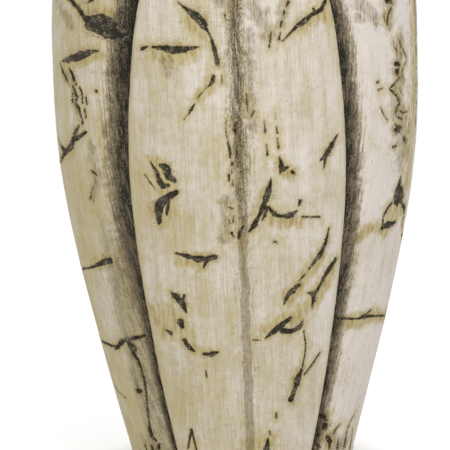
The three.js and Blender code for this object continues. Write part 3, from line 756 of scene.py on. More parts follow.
def edge_distances(given, to_left, to_right):
    """Distances to a covered and to a covering edge, in metres as at the belly; 1 is no such edge."""
    left = to_left * given["belly_radius"]
    right = to_right * given["belly_radius"]
    covered_left = given["Covers Left"].blend(left, 1.0)
    covered_right = given["Covers Right"].blend(right, 1.0)
    covering_left = given["Covers Left"].blend(1.0, left)
    covering_right = given["Covers Right"].blend(1.0, right)
    return covered_left.least(covered_right), covering_left.least(covering_right)


def stored_on(geometry, name, value, data_type="FLOAT"):
    """The geometry with a value kept on its points under a name."""
    inputs = {"Name": name, "Value": value}
    return passed_on(geometry, "GeometryNodeStoreNamedAttribute", inputs, data_type=data_type)


def coated(geometry, face, inside):
    """The geometry with one material on its face and edges and another on its back."""
    geometry = passed_on(geometry, "GeometryNodeRealizeInstances", {})
    geometry = passed_on(geometry, "GeometryNodeSetMaterial", {"Material": face})
    depth = place(geometry.tree, "GeometryNodeInputNamedAttribute", {"Name": "depth"})
    at_back = output(depth, "Attribute") > BACK_DEPTH
    return passed_on(geometry, "GeometryNodeSetMaterial", {"Material": inside, "Selection": at_back})


# What the rule is given, beside all sizes of the petals and the carving and some of the outline
PETAL_INPUTS = {
    "Blank": GEOMETRY,
    "Outline": OBJECT,
    "Marks": OBJECT,
    "Ground": OBJECT,
    "Dirt": OBJECT,
    "Turn": FLOAT,
    "Covers Left": FLOAT,
    "Covers Right": FLOAT,
    "Midrib": FLOAT,
    "Wash": FLOAT,
    "Seed": FLOAT,
    "Face": MATERIAL,
    "Inside": MATERIAL,
}
OUTLINE_INPUTS = ("belly_radius", "belly_height", "shoulder_arc", "lip_round", "lip_scallop", "wall")


def petal_tree(settings):
    """The rule that bends a flat blank into a petal, carves its marks and keeps its distances."""
    numbers = {name: getattr(settings.outline, name) for name in OUTLINE_INPUTS}
    numbers.update(numbers_of(settings.petals))
    numbers.update(numbers_of(settings.carving))
    inputs = {**PETAL_INPUTS, **{name: FLOAT for name in numbers}}
    tree, given = new_group("Petal", "GeometryNodeTree", inputs, {"Petal": GEOMETRY})
    blank_place = output(tree.nodes.new("GeometryNodeInputPosition"), "Position")
    across, along, depth = parts_of(blank_place)

    sampled = {"Curves": object_geometry(given["Outline"]), "Factor": along}
    on_outline = place(tree, "GeometryNodeSampleCurve", sampled, use_all_curves=True)
    nominal_radius, _, nominal_height = parts_of(output(on_outline, "Position"))

    # A covered edge runs on beneath its neighbour, and a covering edge is hollowed from beneath.
    left_span, right_span, twist, rib_place = petal_spans(given, nominal_height)
    is_right = across > 0.0
    covers = is_right.blend(given["Covers Left"], given["Covers Right"])
    bulge = (depth * math.pi).function("SINE")
    beyond = covers.blend(given["tuck"] * (1.0 - depth), given["undercut"] * bulge * -1.0)
    offset = across * (is_right.blend(left_span, right_span) + beyond)
    turn = given["Turn"] + twist + offset
    crest, height = crest_at(given, nominal_radius, nominal_height, turn)

    # Section of the smooth form: crown, midrib and edges
    to_left = offset + left_span
    to_right = right_span - offset
    crown = given["crown"] * (offset / (PITCH / 2)) ** 2.0
    from_rib = offset - rib_place
    valley = ((from_rib / given["midrib_half_width"]) ** 2.0 * -1.0).function("EXPONENT")
    drops = edge_drop(given, crest, to_left, given["Covers Left"])
    drops = drops + edge_drop(given, crest, to_right, given["Covers Right"])
    smooth_face = crest * (1.0 - crown) - given["midrib_depth"] * valley - drops

    over_edge = depth * given["wall"]
    flat = vector(tree, crest * offset + across * over_edge, height + over_edge, given["Seed"])
    to_mark, mark_half = distance_to_marks(given, flat)
    face = smooth_face + relief(given, flat, to_mark, crest * from_rib)
    ground_gap, ground_half = nearest_stroke(given["Ground"], flat, STAIN_STEP)
    dirt_gap, dirt_half = nearest_stroke(given["Dirt"], flat, STAIN_STEP)

    # From the face over the edges to the inside wall, with a rounded lip on top
    inside = crest * (1.0 - given["inner_lobe"] * lobe_of(turn - twist)) - given["wall"]
    over = (1.0 - (depth * math.pi).function("COSINE")) * 0.5
    radius = over.blend(face, inside)
    lift = given["lip_round"] * bulge * (along > LIP_ROW)
    bent = vector(
        tree,
        radius * turn.function("SINE"),
        radius * turn.function("COSINE") * -1.0,
        height + lift,
    )

    # Distances that the finish follows: gouge, edge and midrib in metres, halo, ground and dirt in half
    # widths of the nearest mark, and groove in widths of its wash and painted shade
    covered_edge, covering_edge = edge_distances(given, to_left, to_right)
    stored = {
        "gouge": to_mark,
        "halo": to_mark / mark_half.most(0.7 * MM),
        "ground": ground_gap / ground_half,
        "dirt": dirt_gap / dirt_half,
        "groove": covered_edge / given["Wash"],
        "edge": covering_edge,
        "midrib": crest * from_rib,
        "depth": depth,
    }
    geometry = stored_on(given["Blank"], "flat", flat, "FLOAT_VECTOR")
    for name, value in stored.items():
        geometry = stored_on(geometry, name, value)
    geometry = passed_on(geometry, "GeometryNodeSetPosition", {"Position": bent})
    end_group(tree, {"Petal": coated(geometry, given["Face"], given["Inside"])})
    return tree, numbers


# Blank and outline of the petals


def link_object(name, data):
    """A new object in the scene."""
    piece = bpy.data.objects.new(name, data)
    bpy.context.scene.collection.objects.link(piece)
    return piece


def made_mesh(name, source, tree, values):
    """The plain mesh that a node tree makes of an object."""
    modifier = source.modifiers.new(tree.name, "NODES")
    modifier.node_group = tree
    sockets = {item.name: item.identifier for item in tree.interface.items_tree if item.in_out == "INPUT"}
    for label, value in values.items():
        modifier[sockets[label]] = value
    depsgraph = bpy.context.evaluated_depsgraph_get()
    evaluated = source.evaluated_get(depsgraph)
    mesh = bpy.data.meshes.new_from_object(evaluated, preserve_all_data_layers=True, depsgraph=depsgraph)
    mesh.name = name
    source.modifiers.remove(modifier)
    return mesh


def petal_blank():
    """A flat closed slab, fine on its face and coarse on its back: across, along and depth as X, Y and Z."""
    places = []
    faces = []

    def add(column, row, depth):
        places.append((2 * column / ACROSS - 1, row / ALONG, depth))
        return len(places) - 1

    face = {}
    for column in range(ACROSS + 1):
        for row in range(ALONG + 1):
            face[column, row] = add(column, row, 0)
    for column in range(ACROSS):
        for row in range(ALONG):
            right, up = column + 1, row + 1
            faces.append((face[column, row], face[right, row], face[right, up], face[column, up]))

    border = [(column, 0) for column in range(ACROSS)]
    border += [(ACROSS, row) for row in range(ALONG)]
    border += [(column, ALONG) for column in range(ACROSS, 0, -1)]
    border += [(0, row) for row in range(ALONG, 0, -1)]

    def bridge(near, far):
        """Faces from ring to ring, with a triangle where two corners of the far ring are one."""
        for here in range(len(near)):
            before = here - 1
            if far[before] == far[here]:
                faces.append((near[before], far[before], near[here]))
            else:
                faces.append((near[before], far[before], far[here], near[here]))

    ring = [face[spot] for spot in border]
    for step in range(1, EDGE_ROWS + 1):
        deeper = [add(column, row, step / EDGE_ROWS) for column, row in border]
        bridge(ring, deeper)
        ring = deeper

    back_columns = range(BACK_STRIDE, ACROSS, BACK_STRIDE)
    back_rows = range(BACK_STRIDE, ALONG, BACK_STRIDE)
    back = {(column, row): add(column, row, 1) for column in back_columns for row in back_rows}

    def snapped(value, last):
        near = BACK_STRIDE * round(value / BACK_STRIDE)
        return min(max(near, BACK_STRIDE), last - BACK_STRIDE)

    bridge(ring, [back[snapped(column, ACROSS), snapped(row, ALONG)] for column, row in border])
    for column in back_columns[:-1]:
        for row in back_rows[:-1]:
            right, up = column + BACK_STRIDE, row + BACK_STRIDE
            faces.append((back[column, row], back[column, up], back[right, up], back[right, row]))

    mesh = bpy.data.meshes.new("petal blank")
    mesh.from_pydata(places, [], faces)
    return link_object("petal blank", mesh)


def outline_curve(outline):
    """The crests' outline from the foot's bottom edge to the lip: radius in X and height in Z."""
    lip = HEIGHT - outline.lip_round
    lean = math.asin((lip - outline.belly_height) / outline.shoulder_arc)
    arc_hold = outline.shoulder_arc * math.tan(lean / 4) * 4 / 3
    lip_radius = outline.belly_radius - outline.shoulder_arc * (1 - math.cos(lean))
    flank_reach = outline.foot_radius + outline.flank_lean * outline.flank_hold
    bottom_radius = outline.foot_radius - outline.foot_tuck
    foot_rise = outline.foot_top - SHELL_BOTTOM
    # Each knot is a place and its handles before and after it
    knots = [
        (
            (bottom_radius, SHELL_BOTTOM),
            (bottom_radius, SHELL_BOTTOM),
            (outline.foot_radius - outline.foot_tuck / 3, SHELL_BOTTOM + foot_rise / 3),
        ),
        (
            (outline.foot_radius, outline.foot_top),
            (outline.foot_radius, outline.foot_top - foot_rise / 3),
            (flank_reach, outline.foot_top + outline.flank_hold),
        ),
        (
            (outline.belly_radius, outline.belly_height),
            (outline.belly_radius, outline.belly_height - outline.belly_hold),
            (outline.belly_radius, outline.belly_height + arc_hold),
        ),
        (
            (lip_radius, lip),
            (lip_radius + arc_hold * math.sin(lean), lip - arc_hold * math.cos(lean)),
            (lip_radius, lip),
        ),
    ]
    curve = bpy.data.curves.new("outline", "CURVE")
    curve.dimensions = "3D"
    curve.resolution_u = OUTLINE_STEPS
    spline = curve.splines.new("BEZIER")
    spline.bezier_points.add(len(knots) - 1)
    for point, (spot, before, after) in zip(spline.bezier_points, knots):
        point.handle_left_type = point.handle_right_type = "FREE"
        point.co = (spot[0], 0, spot[1])
        point.handle_left = (before[0], 0, before[1])
        point.handle_right = (after[0], 0, after[1])
    return link_object("outline", curve)


# Marks, from the picture to the petals


class PictureCast:
    """Finds the place on the pot that a pixel of the picture shows."""

    def __init__(self, settings, outline_object):
        self.stage = settings.stage
        self.twist = settings.petals.twist
        mesh = outline_object.to_mesh()
        self.heights = [vertex.co.z for vertex in mesh.vertices]
        self.radii = [vertex.co.x for vertex in mesh.vertices]
        outline_object.to_mesh_clear()

    def crest(self, height):
        return float(np.interp(height, self.heights, self.radii))

    def middle(self, index, height):
        """Angle of a petal's middle at a height."""
        return index * PITCH + self.twist * (1 - height / HEIGHT) ** TWIST_POWER

    def on_petal(self, index, column, row):
        """Distance across a petal from its middle, and height, of the place at a pixel."""
        eye, turn = camera_place(self.stage)
        scale = self.stage.sensor / self.stage.lens
        across = (column / PHOTO_SIZE - 0.5 + self.stage.shift_x) * scale
        upward = (0.5 - row / PHOTO_SIZE + self.stage.shift_y) * scale
        ray = turn @ Vector((across, upward, -1))
        height = self.stage.aim_height
        for _ in range(CAST_ROUNDS):
            radius = self.crest(height) * FACE_SHARE
            along = -(eye.xy @ ray.xy)
            spare = along**2 - ray.xy.length_squared * (eye.xy.length_squared - radius**2)
            spot = eye + ray * (along - math.sqrt(max(spare, 0))) / ray.xy.length_squared
            height = spot.z
        turned = math.atan2(spot.x, -spot.y)
        offset = (turned - self.middle(index, height) + math.pi) % (2 * math.pi) - math.pi
        return self.crest(height) * offset, height


def camera_place(stage):
    """The camera's place and its turn."""
    eye = Vector((0, -stage.distance, stage.eye_height))
    sight = Vector((0, 0, stage.aim_height)) - eye
    turn = sight.to_track_quat("-Z", "Y") @ Quaternion((0, 0, 1), stage.roll)
    return eye, turn


def pictured_strokes(cast, index, marks):
    """A petal's marks as strokes on its flattened face."""
    return [
        [(*cast.on_petal(index, column, row), half * MM) for column, row, half in mark]
        for mark in marks.values()
    ]


def unseen_strokes(seed, left, right):
    """Gouges and cracks for a face that the picture doesn't show, between two distances from its middle."""
    chance = random.Random(seed)
    strokes = []
    for _ in range(UNSEEN_MARKS):
        across = chance.uniform(left, right)
        along = chance.uniform(*UNSEEN_HEIGHTS)
        heading = chance.uniform(-math.pi, math.pi)
        widest = chance.uniform(*UNSEEN_HALVES) * MM
        stroke = []
        places = chance.randint(*UNSEEN_PLACES)
        for step in range(places):
            swell = math.sin(math.pi * (step + 0.6) / (places + 0.2))
            stroke.append((across, along, max(widest * swell, UNSEEN_THINNEST)))
            stretch = chance.uniform(*UNSEEN_STRETCH) * MM
            heading += chance.uniform(*UNSEEN_BEND)
            across += stretch * math.cos(heading)
            along += stretch * math.sin(heading)
        strokes.append(stroke)
    return strokes


def mirrored(strokes):
    """The strokes left for right."""
    return [[(-across, along, half) for across, along, half in stroke] for stroke in strokes]


def turned_over(cast, strokes):
    """The strokes end over end; each place keeps its angle from the petal's middle."""

    def turned(across, along, half):
        height = END_OVER_END - along
        return -across * cast.crest(height) / cast.crest(along), height, half

    return [[turned(*spot) for spot in stroke] for stroke in strokes]


def petal_strokes(cast, pictured):
    """Each petal's strokes: those of the picture, and the front's again at the back."""
    order = [petal[0] for petal in PETALS]
    strokes = {name: pictured_strokes(cast, order.index(name), marks) for name, marks in pictured.items()}
    strokes["back_left"] = mirrored(strokes["front"])
    strokes["back_right"] = turned_over(cast, strokes["front"])
    return strokes


def drawn_strokes(cast):
    """Each petal's gouges, those of its unseen side too, and its patches of ground and dirt."""
    marks = petal_strokes(cast, PICTURED_MARKS)
    for name, far_side in UNSEEN_SIDES.items():
        marks[name] += unseen_strokes(*far_side)
    ground = petal_strokes(cast, PICTURED_GROUND)
    dirt = petal_strokes(cast, PICTURED_DIRT)
    return {"Marks": marks, "Ground": ground, "Dirt": dirt}


def strokes_curve(name, strokes):
    """Strokes on a flattened face: across in X, height in Y, half width as the radius."""
    curve = bpy.data.curves.new(name, "CURVE")
    curve.dimensions = "3D"
    for stroke in strokes:
        spline = curve.splines.new("BEZIER")
        spline.bezier_points.add(len(stroke) - 1)
        for point, (across, along, half) in zip(spline.bezier_points, stroke):
            point.co = (across, along, 0)
            point.radius = half
            point.handle_left_type = point.handle_right_type = "AUTO"
    return link_object(name, curve)


# Materials


def streaks_group():
    """Brush strokes along a petal, from 0 to 1."""
    name = "Brushed streaks"
    if name in bpy.data.node_groups:
        return bpy.data.node_groups[name]
    inputs = {"Place": VECTOR, "Width": FLOAT, "Length": FLOAT}
    tree, given = new_group(name, "ShaderNodeTree", inputs, {"Streak": FLOAT})
    spot = stretched(given["Place"], given["Width"], given["Length"])
    end_group(tree, {"Streak": noise(spot, 1.0, roughness=0.6).rising(0.28, 0.72)})
    return tree


def streaks(field, wide, long):
    """Brush strokes of one width and length, from 0 to 1."""
    inputs = {"Place": field, "Width": wide, "Length": long}
    return output(place(field.tree, "ShaderNodeGroup", inputs, node_tree=streaks_group()), "Streak")


def patches(field, size, detail=2.0):
    """Irregular patches of one size, from 0 to 1."""
    return noise(field, 1 / size, detail).rising(0.3, 0.7)


class Grain:
    """Brush strokes, smudges and patches of several sizes on a flattened face."""

    def __init__(self, flat):
        self.hair = streaks(flat, 0.8 * MM, 20 * MM)
        self.brush = streaks(flat, 1.7 * MM, 45 * MM)
        self.dash = streaks(flat, 1.1 * MM, 6 * MM)
        self.fleck = streaks(flat, 0.9 * MM, 2.6 * MM)
        self.smudge = streaks(flat, 4 * MM, 15 * MM)
        self.sweep = streaks(flat, 9 * MM, 110 * MM)
        self.wander = streaks(flat, 400 * MM, 45 * MM)
        self.cloud = patches(flat, 55 * MM)
        self.mottle = patches(flat, 7 * MM, detail=3.0)
        self.crumb = patches(flat, 1.3 * MM)
        self.stroke = self.brush * 0.3 + self.hair * 0.3 + self.smudge * 0.2 + self.mottle * 0.2
        self.worn = (self.hair * 0.3 + self.fleck * 0.35 + self.smudge * 0.35).rising(0.25, 0.75)
        self.ragged = self.stroke * 0.8 + self.dash * 0.2


def new_material(name, roughness, specular=0.35):
    """A material, its tree and its main shader."""
    material = bpy.data.materials.new(name)
    material.use_nodes = True
    shader = material.node_tree.nodes["Principled BSDF"]
    shader.inputs["Roughness"].default_value = roughness
    shader.inputs["Specular IOR Level"].default_value = specular
    return material, material.node_tree, shader


def attribute(tree, name, socket="Fac"):
    """What the petals' rule stored under a name."""
    return output(place(tree, "ShaderNodeAttribute", attribute_name=name), socket)


def object_place(tree):
    """Places in the frame of the object."""
    return output(tree.nodes.new("ShaderNodeTexCoord"), "Object")


def mixed(factor, first, second):
    """Two colours mixed; each is a field or linear red, green and blue."""
    node = factor.tree.nodes.new("ShaderNodeMix")
    node.data_type = "RGBA"
    feed(node.inputs[0], factor)
    for socket, value in ((node.inputs[6], first), (node.inputs[7], second)):
        feed(socket, value if isinstance(value, Field) else (*value, 1.0))
    return Field(node.outputs[2])


def bumped(height, distance, strength=1.0):
    """Surface directions that follow a fine relief."""
    inputs = {"Height": height, "Distance": distance, "Strength": strength}
    return output(place(height.tree, "ShaderNodeBump", inputs), "Normal")


def brushed_coat(colours, grain, side, height):
    """Off-white brushed over a yellow ground, thicker high up, and thicker and whiter on the pot's right,
    where this partly paints the light that falls from that side.
    """
    coat_and_side_light = 0.055 + grain.cloud * 0.24 + grain.sweep * 0.18 + grain.mottle * 0.14 + grain.brush * 0.11
    # The side terms whiten the pot's right, which partly paints the light that falls from that side.
    coat_and_side_light = coat_and_side_light + side * 0.17 + side.rising(0.4, 0.9) * 0.12 + height * 0.3
    coat = mixed(coat_and_side_light.rising(0.05, 0.5), colours.straw, colours.cream)
    coat = mixed(coat_and_side_light.rising(0.3, 0.8), coat, colours.chalk)
    dirt = grain.hair.falling(0.0, 0.6) * 0.12 + grain.brush.falling(0.0, 0.5) * 0.08
    dirt = dirt + grain.crumb.falling(0.0, 0.6) * 0.14
    coat = mixed(dirt * coat_and_side_light.falling(0.35, 1.0), coat, colours.umber)
    flecks = grain.dash.falling(0.0, 0.16) * grain.mottle.rising(0.6, 0.9)
    specks = grain.crumb.falling(0.0, 0.12) * grain.mottle.falling(0.1, 0.3)
    return mixed(flecks * 0.55 + specks * 0.5, coat, colours.umber)


def ground_showing(colours, grain, coat, edge, gouge, halo):
    """The yellow ground along covering edges and, in patches, round the gouges."""
    near_edge = (edge + (grain.brush - 0.5) * 6 * MM).falling(1 * MM, 14 * MM)
    coat = mixed(near_edge * 0.5, coat, colours.straw)
    rubbed = (edge + (grain.dash - 0.5) * 2 * MM).falling(0.4 * MM, 1.8 * MM)
    coat = mixed(rubbed * grain.smudge.rising(0.3, 0.7) * 0.6, coat, colours.umber)
    uneven = grain.mottle - 0.5
    round_marks = (gouge + uneven * 5 * MM).falling(0.0, 9 * MM) * grain.cloud.blend(0.4, 1.0)
    coat = mixed(round_marks * 0.8, coat, colours.straw)
    stain = (halo + uneven * 1.6).falling(-0.3, 1.6) * grain.smudge.blend(0.2, 0.9)
    coat = mixed(stain, coat, colours.ochre)
    specks = grain.crumb.falling(0.1, 0.3) * halo.falling(0.5, 4.0) * grain.mottle.rising(0.3, 0.8)
    return mixed(specks * 0.8, coat, colours.umber)


def stained(colours, grain, coat, ground, dirt):
    """Patches where the yellow ground shows, and dirt rubbed into the grain."""
    uneven = (grain.mottle - 0.5) * 0.9
    yellow = (ground + uneven).falling(0.1, 2.0) * grain.sweep.blend(0.7, 1.0)
    coat = mixed(yellow * 0.95, coat, colours.straw)
    coat = mixed(yellow * grain.smudge.rising(0.2, 0.95) * 0.9, coat, colours.ochre)
    rubbed = (dirt + uneven).falling(0.2, 1.8)
    flaky = (grain.dash * 0.35 + grain.hair * 0.35 + grain.smudge * 0.3).rising(0.35, 0.75)
    coat = mixed(rubbed * 0.35, coat, colours.ochre)
    return mixed(rubbed * flaky * 0.65, coat, colours.umber)


def washed(colours, coat, amount):
    """A wash over the coat: a ragged brown rim where it is thin, and black where it is thick; in the grooves
    it partly paints their shade.
    """
    coat = mixed(amount.rising(0.0, 0.25) * 0.5, coat, colours.ochre)
    coat = mixed(amount.rising(0.05, 0.5) * 0.75, coat, colours.umber)
    coat = mixed(amount.rising(0.3, 0.8), coat, colours.umber)
    return mixed(amount.rising(0.55, 1.2), coat, colours.soot)


def groove_wash_and_shade(colours, grain, coat, groove, side, height):
    """A dark wash in the grooves that partly paints their shade, thick high on the pot's left, with a wide
    thin one low on that side that partly paints the shade there too.
    """
    left = side.falling(-0.3, 0.6)
    low = height.falling(80 * MM, 270 * MM)
    narrower = low * left.blend(0.1, 1.8)
    ragged = groove * (narrower + 1.0) - narrower * 0.22 + (grain.ragged - 0.5) * 0.55
    thinner = low * left.falling(0.0, 1.0) * groove.rising(0.3, 0.55)
    thicker = height.rising(340 * MM, 420 * MM) * left
    strength = grain.worn.blend(0.55, 1.4) * thinner.blend(1.0, 0.75) * thicker.blend(1.0, 1.4)
    # Where the wash is thick it turns black, which partly paints the shadow in the slit beside a covering
    # edge.
    coat = washed(colours, coat, ragged.falling(0.35, 1.05) * strength)
    low_left = height.falling(200 * MM, 280 * MM) * left
    thin = (groove + (grain.stroke - 0.5) * 0.4).falling(1.1, 1.6) * grain.worn.blend(0.2, 0.65)
    return mixed(thin * low_left * groove.rising(0.2, 0.5), coat, colours.umber)


def midrib_wash(colours, grain, coat, midrib, height):
    """A plain stripe along the midrib, under a dark smudge that breaks up on its way down."""
    off = (midrib - 0.8 * MM + (grain.wander - 0.5) * 2.4 * MM).function("ABSOLUTE")
    stripe = (off + (grain.hair - 0.5) * 0.8 * MM).falling(3.0 * MM, 4.4 * MM)
    coat = mixed(stripe * 0.35, coat, colours.ochre)
    coat = mixed(stripe * (grain.mottle * 0.3 + grain.hair * 0.3), coat, colours.umber)
    seam = off.rising(2.8 * MM, 3.6 * MM) * off.falling(3.8 * MM, 5.0 * MM)
    coat = mixed(seam * grain.dash.rising(0.45, 0.7) * 0.5, coat, colours.umber)
    high = height.rising(170 * MM, 330 * MM)
    core = (off + (grain.smudge - 0.5) * 7 * MM).falling(1.5 * MM, 7 * MM)
    skirt = (off + (grain.stroke - 0.5) * 24 * MM).falling(2 * MM, 18 * MM)
    coat = washed(colours, coat, (core * 0.42 + skirt * 0.3) * high * grain.worn.blend(0.0, 1.4))
    dashes = grain.dash.falling(0.05, 0.3) * off.falling(6 * MM, 17 * MM) * grain.smudge.rising(0.4, 0.8)
    return mixed(dashes * 0.75 * height.rising(0.0, 120 * MM), coat, colours.umber)


def waxed_marks(colours, grain, coat, gouge):
    """Dark wax in the gouges, thin in places and with pale crumbs that partly paint the glints of the wax.
    """
    deep = gouge.falling(-3.5 * MM, -1.5 * MM)
    thin = (grain.fleck * 0.4 + grain.mottle * 0.6).rising(0.3, 0.9) * deep.blend(0.8, 0.3)
    wax = mixed(thin, colours.soot, colours.umber)
    # The pale crumbs partly paint highlights where the wax glints.
    crumbs = grain.crumb.rising(0.72, 0.92) * grain.mottle.rising(0.35, 0.85)
    wax = mixed(crumbs * 0.6, wax, colours.cream)
    filled = (gouge + (grain.crumb - 0.5) * 0.5 * MM).falling(-0.5 * MM, 0.5 * MM)
    return mixed(filled * 0.97, coat, wax)


def weathered_with_painted_light_material(colours):
    """Off-white brushed over a yellow ground, whiter on the right partly as painted light, with a brown wash
    in the grooves that partly paints their shade, and dark wax in the marks with partly painted glints.
    """
    material, tree, shader = new_material("Weathered white", 0.6, specular=0.15)
    grain = Grain(attribute(tree, "flat", "Vector"))
    gouge = attribute(tree, "gouge")
    right, back, height = parts_of(object_place(tree))
    side = right / (right**2.0 + back**2.0).function("SQRT")
    coat = brushed_coat(colours, grain, side, height)
    coat = ground_showing(colours, grain, coat, attribute(tree, "edge"), gouge, attribute(tree, "halo"))
    coat = stained(colours, grain, coat, attribute(tree, "ground"), attribute(tree, "dirt"))
    coat = groove_wash_and_shade(colours, grain, coat, attribute(tree, "groove"), side, height)
    coat = midrib_wash(colours, grain, coat, attribute(tree, "midrib"), height)
    feed(shader.inputs["Base Color"], waxed_marks(colours, grain, coat, gouge))
    feed(shader.inputs["Roughness"], 0.52 + 0.22 * grain.mottle)
    rough = grain.hair * 0.3 + grain.brush * 0.4 + grain.crumb * 0.2
    feed(shader.inputs["Normal"], bumped(rough, 0.4 * MM, 0.6))
    return material


def washed_material(colours):
    """Plain brushed coat on the inside wall and the floor."""
    material, tree, shader = new_material("Inside wash", 0.75)
    spot = object_place(tree)
    cloud = noise(spot, 1 / (50 * MM), detail=4.0)
    grit = noise(spot, 1 / (2 * MM), detail=3.0)
    tint = mixed(cloud.rising(0.3, 0.7), colours.wash, colours.umber)
    feed(shader.inputs["Base Color"], mixed(grit.rising(0.45, 0.7) * 0.4, tint, colours.straw))
    feed(shader.inputs["Normal"], bumped(grit * 0.6 + cloud, 0.6 * MM))
    return material


def moulded_material(name, base, dust, roughness):
    """Moulded plastic or rubber with a fine grain and a little dust."""
    material, tree, shader = new_material(name, roughness)
    spot = object_place(tree)
    grain = noise(spot, 1 / (0.8 * MM))
    cloud = noise(spot, 1 / (30 * MM), detail=4.0)
    dusty = (cloud * 0.7 + grain * 0.4).rising(0.5, 0.85)
    feed(shader.inputs["Base Color"], mixed(dusty * 0.18, base, dust))
    feed(shader.inputs["Roughness"], roughness - 0.1 + 0.25 * cloud)
    feed(shader.inputs["Normal"], bumped(grain, 0.12 * MM))
    return material


# Pieces


def smooth(mesh, sharp_angle):
    """Makes the faces smooth, with sharp edges from an angle on."""
    for face in mesh.polygons:
        face.use_smooth = True
    mesh.set_sharp_from_angle(angle=sharp_angle)


def set_finish(piece, body, slot, *materials):
    """Gives a finished piece its body and its materials; its slot is not used."""
    for material in materials:
        piece.data.materials.append(material)
    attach(piece, body)


def turned_mesh(name, profile):
    """A ring-shaped piece from a closed profile of radius and height."""
    mesh = bpy.data.meshes.new(name)
    turns = [2 * math.pi * step / ROUND_STEPS for step in range(ROUND_STEPS)]
    places = []
    for turn in turns:
        places += [(radius * math.sin(turn), -radius * math.cos(turn), height) for radius, height in profile]
    count = len(profile)
    faces = []
    for step in range(ROUND_STEPS):
        here, there = step * count, (step + 1) % ROUND_STEPS * count
        for corner in range(count):
            following = (corner + 1) % count
            faces.append((here + corner, there + corner, there + following, here + following))
    mesh.from_pydata(places, [], faces)
    return mesh


def refined_copy(node_name):
    """A merged copy of a frame's node with smooth faces and small rounded edges."""
    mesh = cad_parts[node_name].data.copy()
    mesh.materials.clear()
    form = bmesh.new()
    form.from_mesh(mesh)
    bmesh.ops.remove_doubles(form, verts=form.verts, dist=MERGE_GAP)
    bmesh.ops.dissolve_limit(form, angle_limit=PLANE_ANGLE, verts=form.verts, edges=form.edges)
    form.to_mesh(mesh)
    form.free()
    smooth(mesh, SHARP_ANGLE)
    piece = link_object(f"{node_name}_finished", mesh)
    modifier = piece.modifiers.new("Rounded edges", "BEVEL")
    modifier.width = EDGE_ROUND
    modifier.segments = 2
    modifier.limit_method = "ANGLE"
    modifier.angle_limit = ROUNDED_ANGLE
    modifier.harden_normals = True
    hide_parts(node_name)
    return piece


class CACHEPOT_OT_petals(bpy.types.Operator):
    """Make the five overlapping petals of the shell, with their gouges and cracks"""

    bl_idname = "cachepot.petals"
    bl_label = "Petals"

    def execute(self, context):
        settings = context.scene.cachepot
        face = weathered_with_painted_light_material(settings.colours)
        inside = washed_material(settings.colours)
        tree, numbers = petal_tree(settings)
        outline = outline_curve(settings.outline)
        blank = petal_blank()
        context.view_layer.update()
        cast = PictureCast(settings, outline)
        drawn = drawn_strokes(cast)
        for index, (name, covers_left, covers_right, rib_degrees, wash) in enumerate(PETALS):
            curves = {kind: strokes_curve(f"{kind} {name}", drawn[kind][name]) for kind in drawn}
            values = {
                "Outline": outline,
                **curves,
                "Turn": index * PITCH,
                "Covers Left": float(covers_left),
                "Covers Right": float(covers_right),
                "Midrib": math.radians(rib_degrees),
                "Wash": wash,
                "Seed": SEED_STEP * index,
                "Face": face,
                "Inside": inside,
                **numbers,
            }
            mesh = made_mesh(f"petal_{name}", blank, tree, values)
            smooth(mesh, PETAL_SHARP_ANGLE)
            petal = link_object(f"petal_{name}", mesh)
            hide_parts("shell")
            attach(petal, "pot")
            for curve in curves.values():
                bpy.data.objects.remove(curve)
        bpy.data.objects.remove(blank)
        bpy.data.objects.remove(outline)
        return {"FINISHED"}


class CACHEPOT_OT_floor(bpy.types.Operator):
    """Make the shell's floor with its drain hole"""

    bl_idname = "cachepot.floor"
    bl_label = "Floor"

    def execute(self, context):
        settings = context.scene.cachepot
        sizes = settings.floor
        edge = settings.outline.foot_radius * (1 - settings.petals.inner_lobe) - settings.outline.wall
        profile = [
            (sizes.drain_radius, sizes.hollow_top),
            (sizes.hollow_radius, sizes.hollow_top),
            (sizes.hollow_radius, SHELL_BOTTOM),
            (edge, SHELL_BOTTOM),
            (edge, sizes.top),
            (sizes.drain_radius, sizes.top),
        ]
        floor = link_object("shell_floor", turned_mesh("shell_floor", profile))
        set_finish(floor, "pot", "aged_white", bpy.data.materials["Inside wash"])
        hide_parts("shell")
        return {"FINISHED"}


class CACHEPOT_OT_fittings(bpy.types.Operator):
    """Finish the ring, the liner, its grips, the drain plug and the pads"""

    bl_idname = "cachepot.fittings"
    bl_label = "Fittings"

    def execute(self, context):
        colours = context.scene.cachepot.colours
        plastic = moulded_material("Moulded plastic", colours.plastic, colours.wash, 0.5)
        laminate = moulded_material("Raw laminate", colours.laminate, colours.straw, 0.8)
        rubber = moulded_material("Rubber", colours.rubber, colours.wash, 0.8)
        finishes = {
            "liner_ring": ("pot", "raw_laminate", laminate),
            "liner": ("insert", "black_plastic", plastic),
            "grip_left": ("left_grip", "grip_plastic", plastic),
            "grip_right": ("right_grip", "grip_plastic", plastic),
            "drain_plug": ("plug", "plug_rubber", rubber),
        }
        for index in range(len(PETALS)):
            finishes[f"foot_pad_{index + 1}"] = ("pot", "pad_rubber", rubber)
        for node_name, (body, slot, material) in finishes.items():
            set_finish(refined_copy(node_name), body, slot, material)
        return {"FINISHED"}


# Stage


def area_lamp(name, spot, power):
    """A large soft lamp that shines at the middle of the pot."""
    lamp = bpy.data.lights.new(name, "AREA")
    lamp.size = LAMP_SIZE
    lamp.energy = power
    holder = link_object(name, lamp)
    holder.location = spot
    holder.rotation_euler = (LAMP_AIM - spot).to_track_quat("-Z", "Y").to_euler()


def seen_directly(tree):
    """1 for what the camera sees, also in a reflection or through a clear piece, and 0 for light."""
    path = tree.nodes.new("ShaderNodeLightPath")
    kinds = ("Is Camera Ray", "Is Glossy Ray", "Is Transmission Ray")
    camera, glossy, clear = (output(path, kind) for kind in kinds)
    return (camera + glossy + clear).least(1.0)


